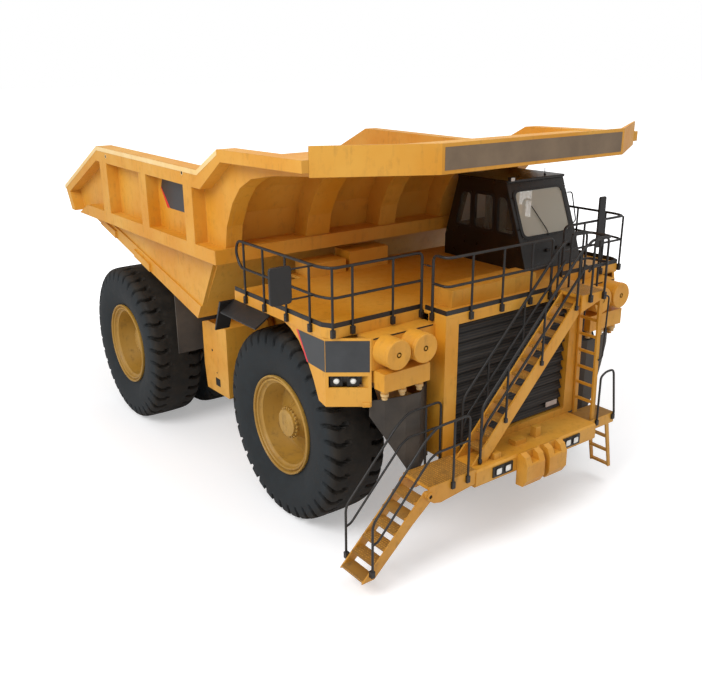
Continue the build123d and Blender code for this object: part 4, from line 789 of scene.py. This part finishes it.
def landing_hoops(radius, post_radius):
    """Two hoops with rounded tops and the rail that rounds the landing's outer end."""
    parts = []
    for x0, x1, y, foot in ((1140, 1500, -2970, FOOT_Z), (1200, 1600, -2440, LANDING_Z)):
        top = RAIL_TOP + 34
        parts.append(tube([(x0, y, foot), (x0, y, top), (x1, y, top), (x1, y, foot)], post_radius, 130))
    for start, x, y, z, size in (((1045, -2925, MEETING_Z), 1120, -2925, RAIL_TOP, radius),
                                 ((1070, -2940, 4400), 1160, -2940, RAIL_MID, radius * MIDDLE_SHARE)):
        parts.append(tube([start, (x, y, z), (1640, -2925, z), (1640, -2470, z), (1210, -2440, z)], size, 90))
    parts.append(bar((1640, -2700, LANDING_Z), (1640, -2700, RAIL_TOP - 4), post_radius))
    return joined(parts)


STAIR_FOOT = -1452.0
BUMPER_TOP = 1533.0
STAIR_SLOPE = (DECK_Z - BUMPER_TOP) / (950.0 - STAIR_FOOT)
STAIR_POSTS = (-740, 60, 850)
STAIR_SIDES = (-2920.0, -2480.0)
ACCESS_SIDES = ((-3060.0, -3040.0, -3010.0, -25.0), (-2390.0, -2410.0, -2440.0, 25.0))


def nosing(x):
    """Height of the stringer's upper edge at x."""
    return BUMPER_TOP + (x - STAIR_FOOT) * STAIR_SLOPE


def build_stair_rails(radius, post_radius):
    """Rails of the main stair, of the access steps and the loop beside the ladder."""
    parts, feet = [], []
    for y in STAIR_SIDES:
        parts.append(tube([(-1300, y, nosing(-1300) - 120), (-1300, y, nosing(-1300) + 860),
                           (850, y, nosing(850) + 860), (1030, y, MEETING_Z)], radius, 120))
        parts.append(tube([(-1300, y, nosing(-1300) + 300), (-1290, y, nosing(-1290) + 330),
                           (-1200, y, nosing(-1200) + 430), (850, y, nosing(850) + 430),
                           (1030, y, nosing(1030) + 430)], radius * MIDDLE_SHARE, 90))
        for x in STAIR_POSTS:
            parts.append(bar((x, y, nosing(x) - 120), (x, y, nosing(x) + 856), post_radius))
        for x in (-1300, *STAIR_POSTS):
            feet.append(block(x - 30, x + 30, y - 24, y + 24, nosing(x) - 140, nosing(x) - 60))
    for y, face, low_face, out in ACCESS_SIDES:
        parts.append(tube([(-3620, y, 470), (-3620, y, 1330), (-2620, y, 2400), (-2380, y, 2560),
                           (-1700, y, 2580), (-1700, y, 1450)], post_radius, 110))
        parts.append(tube([(-3620, y, 980), (-3520, y, 1010), (-2520, y, 2060), (-2380, y, 2130),
                           (-1700, y, 2140)], post_radius * MIDDLE_SHARE, 60))
        parts.append(bar((-2020, y, 1450), (-2020, y, 2566), post_radius))
        feet.extend(block(x - 35, x + 35, y + out, face, 1400, 1520) for x in (-1700, -2020))
        feet.append(block(-3655, -3585, y + out, low_face, 430, 540))
    parts.append(tube([(1740, -2900, 1430), (1740, -2900, 2330), (1880, -2900, 2400), (2060, -2900, 2400),
                       (2110, -2900, 2340), (2240, -2900, 1480), (2200, -2900, 1420)], post_radius, 60))
    feet.extend(block(x - 35, x + 35, -2925, -2880, 1380, 1480) for x in (1740, 2210))
    piece("rail_stairs", joined(parts), "chassis", "dark_paint", replaces=("step_rails",))
    piece("rail_stairs_clamps", joined(feet), "chassis", "dark_paint", bevel=6)
    grabs = [tube([(1640, -2890, 3880), (1766, -2890, 3840), (1733, -2890, 2705), (1660, -2860, 2660)], 15, 60),
             tube([(1640, -2420, 3560), (1748, -2420, 3540), (1708, -2420, 2703), (1650, -2440, 2670)], 15, 60)]
    piece("ladder_grabs", joined(grabs), "chassis", "dark_paint")


# Mirrors.


def build_mirrors():
    """Rounded mirror heads with their glass, arms and clamps."""
    right = [rounded_box(-4290, -3920, -1530, -1480, 4420, 4990, 60)]
    for z in (RAIL_TOP, RAIL_MID):
        right.append(bar((-4200, -1506, z), (RX + 4, -1506, z), 15))
    left = [rounded_box(2560, 2740, FY - 90, FY - 50, 4430, 5380, 40)]
    for z in (RAIL_TOP, RAIL_MID):
        left.append(block(2600, 2700, FY - 52, FY - 4, z - 20, z + 20))
    left.append(lathe([(0, 14), (30, 14), (34, 38), (54, 44), (74, 34), (80, 0.5)], (2740, FY - 70, 4640),
                      (1, 0, 0), 20, closed=False))
    piece("mirror_heads", joined(right + left), "chassis", "dark_paint", bevel=8, replaces=("mirrors",))
    panes = joined([rounded_box(-4262, -3948, -1480, -1477, 4448, 4962, 50),
                    rounded_box(2582, 2718, FY - 50, FY - 47, 4454, 5356, 30)])
    piece("mirror_panes", panes, "chassis", "window_glass", "bare_steel")


# Front end: air cleaners, lamps, grille plate.

CANISTERS = ((-2681, 3610), (-2150, 3606))
VALVE_PLACES = (-2780, -2430, -2080)
DUCT_Y = -2150.0
CANISTER_PROFILE = [(2, 236), (286, 236), (290, 241), (304, 241), (308, 235), (344, 235), (354, 224),
                    (356, 60), (350, 44), (350, 24), (354, 16), (354, 0.5)]
VALVE_PROFILE = [(0, 70), (34, 70), (42, 50), (56, 50), (64, 66), (104, 66), (112, 44), (140, 44),
                 (148, 52), (166, 44), (172, 0.5)]


def build_air_cleaners():
    """Round canisters with flat covers and stacked rubber dust valves under the lower box."""
    cans = [lathe(CANISTER_PROFILE, (x, DUCT_Y, z), (0, -1, 0), 64, closed=False) for x, z in CANISTERS]
    valves = [lathe(VALVE_PROFILE, (x, DUCT_Y - 130, 3013), (0, 0, -1), 32, closed=False) for x in VALVE_PLACES]
    piece("canisters", both(joined(cans)), "chassis", "machine_yellow", smooth_angle=30)
    piece("dust_valves", both(joined(valves)), "chassis", "machine_yellow", "dusty_yellow", smooth_angle=30)


FA = np.array((-3490.0, -1715.0))
FB = np.array((-2925.0, -2145.0))
FEND_OUT = np.array((FB[1] - FA[1], FA[0] - FB[0])) / np.linalg.norm(FB - FA)


def fender_point(share, z, out=0.0):
    """Point on the slanted fender panel at a share of its width, a height and a distance outwards."""
    x, y = FA + share * (FB - FA) + out * FEND_OUT
    return (x, y, z)


def fender_slab(share0, share1, z0, z1, out0, out1):
    """A slab on the slanted fender panel between two shares of its width."""
    outline = [fender_point(s, z, out0) for s, z in ((share0, z0), (share1, z0), (share1, z1), (share0, z1))]
    return slab(outline, (*(FEND_OUT * (out1 - out0)), 0))


def build_lamps():
    """Lamps in the fender recesses, on the bumper and on the cab."""
    axis = (*FEND_OUT, 0)
    spots = [(share, 3128) for share in (0.235, 0.60)]
    back = fender_slab(0.08, 0.92, 3036, 3221, -140, -134)
    shades = [fender_slab(s - 0.135, s + 0.135, 3040, 3217, -132, -52) for s, _ in spots]
    bezels = [lathe([(0, 72), (26, 72), (30, 66), (30, 54), (8, 48)], fender_point(s, z, -52), axis, 36)
              for s, z in spots]
    lenses = [lathe([(-4, 52), (10, 50), (22, 36), (27, 16), (28, 0.5)], fender_point(s, z, -52), axis, 36,
                    closed=False) for s, z in spots]
    piece("fender_lamp_shades", both(joined(shades + bezels)), "chassis", "dark_paint", bevel=3)
    piece("fender_lamp_backs", both(back), "chassis", "dark_paint", "cab_dark")
    piece("fender_lamp_lenses", both(joined(lenses)), "chassis", "window_glass", "lamp_glass")
    faces, rims = [], []
    for x0, x1 in ((-1139, -680), (600, 1037)):
        for share in (0.27, 0.73):
            x = x0 + (x1 - x0) * share
            faces.append(rounded_box(x - 66, x + 66, -3094, -3080, 1334, 1448, 30))
            edge = rounded_loop([(x - 74, 1326), (x + 74, 1326), (x + 74, 1456), (x - 74, 1456)], 34)
            rims.append(ring_plate(upright(edge, y=-3100), 1.0, 0.88, (0, 20, 0)))
    piece("bumper_lamp_lenses", joined(faces), "chassis", "window_glass", "lamp_glass", bevel=5)
    piece("bumper_lamp_rims", joined(rims), "chassis", "dark_paint")
    cab = [rounded_box(x - 50, x + 50, -1205, -1150, z - 28, z + 28, 14)
           for x, z in ((2091, 4327), (2378, 4340), (2764, 4352))]
    cab.append(rounded_box(1418, 1540, -760, -690, 5628, 5716, 20))
    piece("cab_lamps", joined(cab), "chassis", "dark_paint", bevel=5)
    lens = [rounded_box(1430, 1528, -764, -759, 5640, 5704, 16)]
    piece("cab_lamp_lens", joined(lens), "chassis", "window_glass", "lamp_glass")


# Signs and stripes: blank films 3 mm proud of the sheet.

SIDE_X = -3563.0
BODY_SIGN = [(3600, 5670), (2225, 5709), (2480, 5145), (3316, 5146), (3661, 5517)]
BODY_STRIPE = [(3330, 5146), (3440, 5140), (3690, 5506), (3664, 5517)]
FENDER_SIGN_SIDE = [(-1713, 3290), (-1262, 3318), (-985, 3793), (-1713, 3793)]
FENDER_STRIPE = [(-1262, 3318), (-1216, 3322), (-938, 3793), (-985, 3793)]


def build_signs():
    """Dark blank signs with red stripes on fenders and body, and the weathered band across the canopy."""
    film = (-3.0, 0, 0)
    dark = [fender_slab(0.01, 0.96, 3290, 3793, 0.2, 3.2), slab(upright(FENDER_SIGN_SIDE, x=-3490.2), film)]
    red = [slab(upright(FENDER_STRIPE, x=-3490.2), film)]
    piece("fender_signs", both(joined(dark)), "chassis", "dark_paint", "sign_dark")
    piece("fender_stripes", both(joined(red)), "chassis", "dark_paint", "red_stripe")
    for name, outline, gap, finish in (("body_signs", BODY_SIGN, 0.2, "sign_dark"),
                                       ("body_stripes", BODY_STRIPE, 0.3, "red_stripe")):
        piece(name, both(slab(upright(outline, x=SIDE_X - gap), film)), "dump_body", "dark_paint", finish)
    band = rounded_box(-2016, 2016, -2664.2, -2661.2, 6290, 6617, 6)
    piece("canopy_band", band, "dump_body", "dark_paint", "band_brown")
    plate = rounded_box(950, 1250, -2343, -2334.5, 1752, 1846, 8)
    piece("grille_plate", plate, "chassis", "bare_steel", "pale_plate")


# Trim of body, fenders, tank and cab.

RAIL_LINE = [(796, 6450), (1576, 6050), (6361, 6109), (8772, 5026)]

# Bead that covers the 23 mm opening between the body's upper and lower walls: section as (x, height).
SEAM_SECTION = [(-3475, 4516), (-3475, 4472), (-3452, 4472), (-3452, 4480), (-3424, 4480), (-3440, 4484),
                (-3460, 4496)]
SEAM_FROM, SEAM_TO = 1780.0, 8380.0
# Outer faces of the body's top rail and of the tank, as x.
RAIL_FACE, TANK_FACE = -3813.2, -3100.2


def build_body_trim():
    """Beads over the openings inside the body, a rubbed strip along its top rail that is also painted highlight,
    and its lifting holes as discs of painted shade in pale rings.
    """
    seam = slab(upright(SEAM_SECTION, y=SEAM_FROM), (0, SEAM_TO - SEAM_FROM, 0))
    piece("body_seam_welds", both(seam), "dump_body", "machine_yellow")
    # The strip is paler partly as rubbed enamel and partly as a painted highlight along the rail's top.
    top = np.array(RAIL_LINE, float)
    strip = np.vstack((top - (0, 3), (top - (0, 92))[::-1]))
    strips = both(slab(upright(strip, x=RAIL_FACE), (-3.0, 0, 0)))
    piece("body_rail_strip", strips, "dump_body", "machine_yellow", "rubbed_and_highlit_yellow")
    hole_shade_discs, rings = [], []
    for y, z in ((5835, 5930), (2154, 5945)):
        hole_shade_discs.append(drum((RAIL_FACE, y, z), (-1, 0, 0), 4, 30, segments=24))
        rings.append(lathe([(0, 46), (6, 44), (6, 30), (0, 30)], (RAIL_FACE, y, z), (-1, 0, 0), 32))
    piece("body_rail_rings", both(joined(rings)), "dump_body", "machine_yellow", "rubbed_and_highlit_yellow")
    # The lifting holes are black discs of painted shade.
    piece("body_rail_hole_shade", both(joined(hole_shade_discs)), "dump_body", "dark_paint", "painted_shade_black")


def build_front_trim():
    """Tabs on the fenders, a boss ring on the platform, and painted shade for the openings of the tank, the boss
    ring's hole and the slots of the duct.
    """
    tabs = [fender_slab(0.80, 0.975, 2724, 2790, 0.2, 16), fender_slab(0.80, 0.975, 2724, 2736, 0.2, 40)]
    piece("fender_tabs", both(joined(tabs)), "chassis", "machine_yellow", bevel=4)
    rings = [lathe([(0, 70), (16, 66), (16, 34), (0, 34)], (-2478, -3041, 1400), (0, -1, 0), 36)]
    piece("platform_bosses", joined(rings), "chassis", "machine_yellow")
    # Black discs and a patch of painted shade stand in for the tank's openings and the boss ring's hole.
    dark = [drum((TANK_FACE, 2873, 2286), (-1, 0, 0), 3, 26, segments=20),
            drum((TANK_FACE, 2717, 1841), (-1, 0, 0), 3, 16, segments=16),
            drum((-2478, -3041, 1400), (0, -1, 0), 3, 33, segments=24),
            rounded_box(TANK_FACE - 3, TANK_FACE, 2600, 2790, 1560, 1726, 14, flat="x")]
    piece("tank_opening_shade", joined(dark), "chassis", "dark_paint", "painted_shade_black")
    # The duct's slots are a dark strip of painted shade.
    slot = [(-2900, -2151, 3800), (-1700, -2151, 3800), (-1700, -2151, 3822), (-2900, -2151, 3822)]
    piece("duct_slot_shade", both(slab(slot, (0, -2.0, 0))), "chassis", "dark_paint", "painted_shade_black")


STAIR_TREADS = 11


def build_treads():
    """Pressed walking plates on the stairs, the platforms and the landing, each 3 mm over its tread."""
    plates = []
    for i in range(1, STAIR_TREADS + 1):
        z = BUMPER_TOP + (DECK_Z - BUMPER_TOP) * i / (STAIR_TREADS + 1)
        x = STAIR_FOOT + (950.0 - STAIR_FOOT) * i / (STAIR_TREADS + 1) + 40
        plates.append(block(x - 2, x + 232, -2868, -2532, z + 0.3, z + 3))
        plates.append(block(x - 3, x - 0.3, -2868, -2532, z - 42, z + 3))
    for i in range(6):
        z = 345.0 + 50 + i * 195
        x = -3760.0 + i * 200
        plates.append(block(x - 2, x + 232, -2983, -2467, z + 0.3, z + 3))
        plates.append(block(x - 3, x - 0.3, -2983, -2467, z - 42, z + 3))
    plates.append(block(-2490, -1510, -3030, -2420, 1560.3, 1563))
    plates.append(block(1512, 2262, -2872, -2403, 1500.3, 1503))
    plates.append(block(958, 1552, -2942, -2410, DECK_Z + 0.3, DECK_Z + 3))
    piece("walking_plates", joined(plates), "chassis", "machine_yellow", "tread_yellow")


CAB_X0 = 1400.0
CAB_X1 = 3000.0
CAB_FRONT = ((-1110.0, 4480.0), (-670.0, 5615.0))
SIDE_WINDOWS = ([(-950, 4650), (-700, 5350), (-480, 5350), (-480, 4650)],
                [(-380, 4650), (-380, 5350), (130, 5350), (130, 4650)],
                [(230, 4650), (230, 5350), (480, 5350), (660, 4650)])


def cab_front_y(z):
    """Station of the cab's sloping front at a height."""
    (y0, z0), (y1, z1) = CAB_FRONT
    return y0 + (z - z0) * (y1 - y0) / (z1 - z0)


def build_cab_trim():
    """Rubber seals that round the windows' corners, roof lip, grab loops, antenna and wiper."""
    seals = [ring_plate(upright(rounded_loop(w, 90), x=CAB_X0), 1.07, 0.93, (-12, 0, 0)) for w in SIDE_WINDOWS]
    door_window = [(-670, 4650), (-670, 5350), (-230, 5350), (-230, 4650)]
    rear_window = rounded_loop([(30, 4650), (30, 5350), (450, 5350), (450, 4650)], 90)
    seals.append(ring_plate(upright(rear_window, x=CAB_X1), 1.07, 0.93, (12, 0, 0)))
    screen = rounded_loop([(1520, 4600), (1520, 5440), (2880, 5440), (2880, 4600)], 130)
    sloped = np.column_stack((screen[:, 0], cab_front_y(screen[:, 1]), screen[:, 1]))
    seals.append(ring_plate(sloped, 1.055, 0.955, (0, -13, 5)))
    piece("window_seals", joined(seals), "chassis", "dark_paint", bevel=3)
    door = ring_plate(upright(rounded_loop(door_window, 90), x=CAB_X1), 1.07, 0.93, (12, 0, 0))
    piece("door_seal", door, "cab_door", "dark_paint", bevel=3)
    roof = [rounded_box(CAB_X0 - 12, CAB_X1 + 12, -690, 620, 5616, 5650, 12),
            slab([(CAB_X0, -676, 5600), (CAB_X1, -676, 5600), (CAB_X1, -676, 5650), (CAB_X0, -676, 5650)],
                 (0, -40, 0))]
    piece("cab_roof_lip", joined(roof), "chassis", "cab_dark", bevel=8)
    grabs = [tube([(1436, -795, 5335), (1424, -862, 5325), (1430, -1052, 4776), (1436, -985, 4760)], 13, 50),
             tube([(2996, -820, 5300), (3160, -800, 5290), (3214, -900, 4738), (2996, -990, 4690)], 13, 60)]
    grabs.append(bar((2594, -560, 5640), (2586, -560, 5790), 8))
    grabs.append(drum((2596, -560, 5640), (0, 0, 1), 30, 24, 6, 20))
    piece("cab_grabs", joined(grabs), "chassis", "dark_paint")
    wiper = [tube([(2200, cab_front_y(4590) - 24, 4590), (2170, cab_front_y(4700) - 34, 4700),
                   (1900, cab_front_y(5150) - 30, 5150)], 9, 30)]
    piece("cab_wiper", joined(wiper), "chassis", "dark_paint")


class TRUCK_PG_sizes(bpy.types.PropertyGroup):
    """Sizes that a user would change."""

    rail_radius: bpy.props.FloatProperty(
        name="Rail radius", description="Radius of the handrail tube", default=0.024, unit="LENGTH")
    post_radius: bpy.props.FloatProperty(
        name="Post radius", description="Radius of the handrail posts", default=0.020, unit="LENGTH")
    floor_size: bpy.props.FloatProperty(
        name="Floor size", description="Side of the floor under the truck", default=600.0, unit="LENGTH")


class TRUCK_PG_colours(bpy.types.PropertyGroup):
    """Colours and light that a user would change."""

    enamel: bpy.props.FloatVectorProperty(
        name="Enamel", description="Colour of the machine enamel", subtype="COLOR", size=3, min=0.0, max=1.0,
        default=linear(ENAMEL[0])[:3])
    key_power: bpy.props.FloatProperty(
        name="Key light", description="Share of the large lamps' full strength", subtype="FACTOR", default=1.0,
        min=0.0)
    fill_power: bpy.props.FloatProperty(
        name="Fill light", description="Strength of the sky on the truck", subtype="FACTOR", default=0.68, min=0.0)


class TRUCK_OT_finishes(bpy.types.Operator):
    """Give every CAD node the finish of its material slot"""

    bl_idname = "truck.finishes"
    bl_label = "Finishes"

    def execute(self, context):
        MATERIALS.update(build_materials(tuple(context.scene.truck_colours.enamel)))
        for row in frame["record"]["subparts"]:
            node = frame["nodes"][row["node"]]
            node.data.materials.clear()
            node.data.materials.append(MATERIALS[row["material_slot"]])
            for face in node.data.polygons:
                face.material_index = 0
        return {"FINISHED"}


class TRUCK_OT_wheels(bpy.types.Operator):
    """Tyres with grooved tread, dished rims and hub bolts on all wheels"""

    bl_idname = "truck.wheels"
    bl_label = "Wheels"

    def execute(self, context):
        build_wheels()
        return {"FINISHED"}


class TRUCK_OT_deck_rails(bpy.types.Operator):
    """Bent tube handrails with clamped feet round the decks and the landing"""

    bl_idname = "truck.deck_rails"
    bl_label = "Deck rails"

    def execute(self, context):
        sizes = context.scene.truck_sizes
        build_deck_rails(sizes.rail_radius * 1000.0, sizes.post_radius * 1000.0)
        return {"FINISHED"}


class TRUCK_OT_stair_rails(bpy.types.Operator):
    """Rails of the stairs, the access steps and the ladder"""

    bl_idname = "truck.stair_rails"
    bl_label = "Stair rails"

    def execute(self, context):
        sizes = context.scene.truck_sizes
        build_stair_rails(sizes.rail_radius * 1000.0, sizes.post_radius * 1000.0)
        return {"FINISHED"}


class TRUCK_OT_mirrors(bpy.types.Operator):
    """Mirror heads with rounded corners on their arms"""

    bl_idname = "truck.mirrors"
    bl_label = "Mirrors"

    def execute(self, context):
        build_mirrors()
        return {"FINISHED"}


class TRUCK_OT_air_cleaners(bpy.types.Operator):
    """Air cleaner canisters and dust valves"""

    bl_idname = "truck.air_cleaners"
    bl_label = "Air cleaners"

    def execute(self, context):
        build_air_cleaners()
        return {"FINISHED"}


class TRUCK_OT_lamps(bpy.types.Operator):
    """Lamps of the fenders, the bumper and the cab"""

    bl_idname = "truck.lamps"
    bl_label = "Lamps"

    def execute(self, context):
        build_lamps()
        return {"FINISHED"}


class TRUCK_OT_signs(bpy.types.Operator):
    """Blank dark panels and red stripes on the fenders, body sides and canopy"""

    bl_idname = "truck.signs"
    bl_label = "Signs and stripes"

    def execute(self, context):
        build_signs()
        return {"FINISHED"}


class TRUCK_OT_trim(bpy.types.Operator):
    """Small trim of the body, the fenders and the tank"""

    bl_idname = "truck.trim"
    bl_label = "Trim"

    def execute(self, context):
        build_body_trim()
        build_front_trim()
        return {"FINISHED"}


class TRUCK_OT_treads(bpy.types.Operator):
    """Walking plates on the stairs and platforms"""

    bl_idname = "truck.treads"
    bl_label = "Walking plates"

    def execute(self, context):
        build_treads()
        return {"FINISHED"}


class TRUCK_OT_cab_trim(bpy.types.Operator):
    """Window seals, roof lip, grab loops and antenna of the cab"""

    bl_idname = "truck.cab_trim"
    bl_label = "Cab trim"

    def execute(self, context):
        build_cab_trim()
        return {"FINISHED"}


class TRUCK_OT_stage(bpy.types.Operator):
    """Pale floor, soft studio light and the camera"""

    bl_idname = "truck.stage"
    bl_label = "Stage"

    def execute(self, context):
        colours = context.scene.truck_colours
        build_floor(context.scene.truck_sizes.floor_size)
        build_light(colours.key_power, colours.fill_power)
        build_camera()
        return {"FINISHED"}


FLOOR_GLOW_NEAR = 0.34
FLOOR_GLOW_FAR = 0.85
LAMPS = (("key", (-20.0, -7.0, 20.0), 14.0, 3700.0), ("top", (5.0, -8.0, 25.0), 16.0, 2000.0))


def build_floor(size):
    """A square floor: white paint that takes the shadow, and further off a glow that joins it to the sky."""
    half = size / 2
    corners = [(-half, -half, 0), (half, -half, 0), (half, half, 0), (-half, half, 0)]
    mesh = bpy.data.meshes.new("floor")
    mesh.from_pydata(corners, [], [(0, 1, 2, 3)])
    floor = bpy.data.objects.new("floor", mesh)
    bpy.context.scene.collection.objects.link(floor)
    made, tree, where = new_material("floor_paper_white")
    far = add_node(tree, "ShaderNodeVectorMath", {0: where}, operation="LENGTH")
    glow_share = add_node(tree, "ShaderNodeMapRange", {
        "Value": (far, 1), "From Min": 7.0, "From Max": 16.0, "To Min": FLOOR_GLOW_NEAR,
        "To Max": FLOOR_GLOW_FAR}, interpolation_type="SMOOTHSTEP")
    path = add_node(tree, "ShaderNodeLightPath")
    glow_power = maths(tree, "MULTIPLY", (path, "Is Camera Ray"), (glow_share, 0))
    white = add_node(tree, "ShaderNodeBsdfDiffuse", {"Color": (0.80, 0.80, 0.81, 1)})
    glow = add_node(tree, "ShaderNodeEmission", {"Color": (1, 1, 1, 1), "Strength": glow_power})
    both_shades = add_node(tree, "ShaderNodeAddShader", {0: (white, 0), 1: (glow, 0)})
    add_node(tree, "ShaderNodeOutputMaterial", {"Surface": (both_shades, 0)})
    mesh.materials.append(made)


def build_light(key_power, fill_power):
    """White sky where the camera sees it, also through glass, a plain level for light, and two soft lamps."""
    scene = bpy.context.scene
    world = bpy.data.worlds.new("studio")
    scene.world = world
    world.use_nodes = True
    tree = world.node_tree
    tree.nodes.clear()
    path = add_node(tree, "ShaderNodeLightPath")
    seen = maths(tree, "MAXIMUM", (path, "Is Camera Ray"), (path, "Is Transmission Ray"))
    power = spread(tree, seen, fill_power, 1.0, 0.0, 1.0)
    sky = add_node(tree, "ShaderNodeBackground", {"Color": (1, 1, 1, 1), "Strength": power})
    add_node(tree, "ShaderNodeOutputWorld", {"Surface": (sky, 0)})
    for name, at, width, watts in LAMPS:
        data = bpy.data.lights.new(name, "AREA")
        data.shape = "DISK"
        data.size = width
        data.energy = watts * key_power
        lamp = bpy.data.objects.new(name, data)
        lamp.location = at
        aim = Vector((0.0, 0.0, 2.0)) - Vector(at)
        lamp.rotation_euler = aim.to_track_quat("-Z", "Y").to_euler()
        scene.collection.objects.link(lamp)


CAMERA_AT = (-10.02789, -14.23425, 7.74071)
CAMERA_YAW = 36.32
CAMERA_PITCH = -18.69
CAMERA_ROLL = -0.49
CAMERA_LENS = 41.76


def build_camera():
    """Camera at the viewing point: rows are right, up and back, turned by yaw, pitch and roll."""
    yaw, pitch, roll = (math.radians(a) for a in (CAMERA_YAW, CAMERA_PITCH, CAMERA_ROLL))
    ahead = np.array((math.sin(yaw) * math.cos(pitch), math.cos(yaw) * math.cos(pitch), math.sin(pitch)))
    right = np.array((math.cos(yaw), -math.sin(yaw), 0.0))
    up = np.cross(right, ahead)
    turned = math.cos(roll) * right + math.sin(roll) * up
    level = -math.sin(roll) * right + math.cos(roll) * up
    matrix = np.eye(4)
    matrix[:3, 0], matrix[:3, 1], matrix[:3, 2], matrix[:3, 3] = turned, level, -ahead, CAMERA_AT
    data = bpy.data.cameras.new("camera")
    data.sensor_width = 36.0
    data.lens = CAMERA_LENS
    data.clip_end = 1000.0
    camera = bpy.data.objects.new("camera", data)
    camera.matrix_world = Matrix(matrix.tolist())
    bpy.context.scene.collection.objects.link(camera)
    bpy.context.scene.camera = camera
    bpy.context.scene.view_settings.view_transform = "Standard"


class TRUCK_PT_panel(bpy.types.Panel):
    """Lists the truck's steps in the sidebar"""

    bl_label = "Dump Truck"
    bl_idname = "TRUCK_PT_panel"
    bl_space_type = "VIEW_3D"
    bl_region_type = "UI"
    bl_category = "Dump Truck"

    def draw(self, context):
        for group in (context.scene.truck_sizes, context.scene.truck_colours):
            for key in group.__annotations__:
                self.layout.prop(group, key)
        for step in STEPS:
            self.layout.operator(step.bl_idname)


STEPS = (TRUCK_OT_finishes, TRUCK_OT_wheels, TRUCK_OT_deck_rails, TRUCK_OT_stair_rails, TRUCK_OT_mirrors,
         TRUCK_OT_air_cleaners, TRUCK_OT_lamps, TRUCK_OT_signs, TRUCK_OT_trim, TRUCK_OT_treads, TRUCK_OT_cab_trim,
         TRUCK_OT_stage)
CLASSES = (TRUCK_PG_sizes, TRUCK_PG_colours, *STEPS, TRUCK_PT_panel)


def register():
    for kind in CLASSES:
        bpy.utils.register_class(kind)
    bpy.types.Scene.truck_sizes = bpy.props.PointerProperty(type=TRUCK_PG_sizes)
    bpy.types.Scene.truck_colours = bpy.props.PointerProperty(type=TRUCK_PG_colours)


def unregister():
    del bpy.types.Scene.truck_colours
    del bpy.types.Scene.truck_sizes
    for kind in reversed(CLASSES):
        bpy.utils.unregister_class(kind)


def main():
    register()
    for step in STEPS:
        family, word = step.bl_idname.split(".")
        getattr(getattr(bpy.ops, family), word)()


if __name__ == "__main__":
    main()
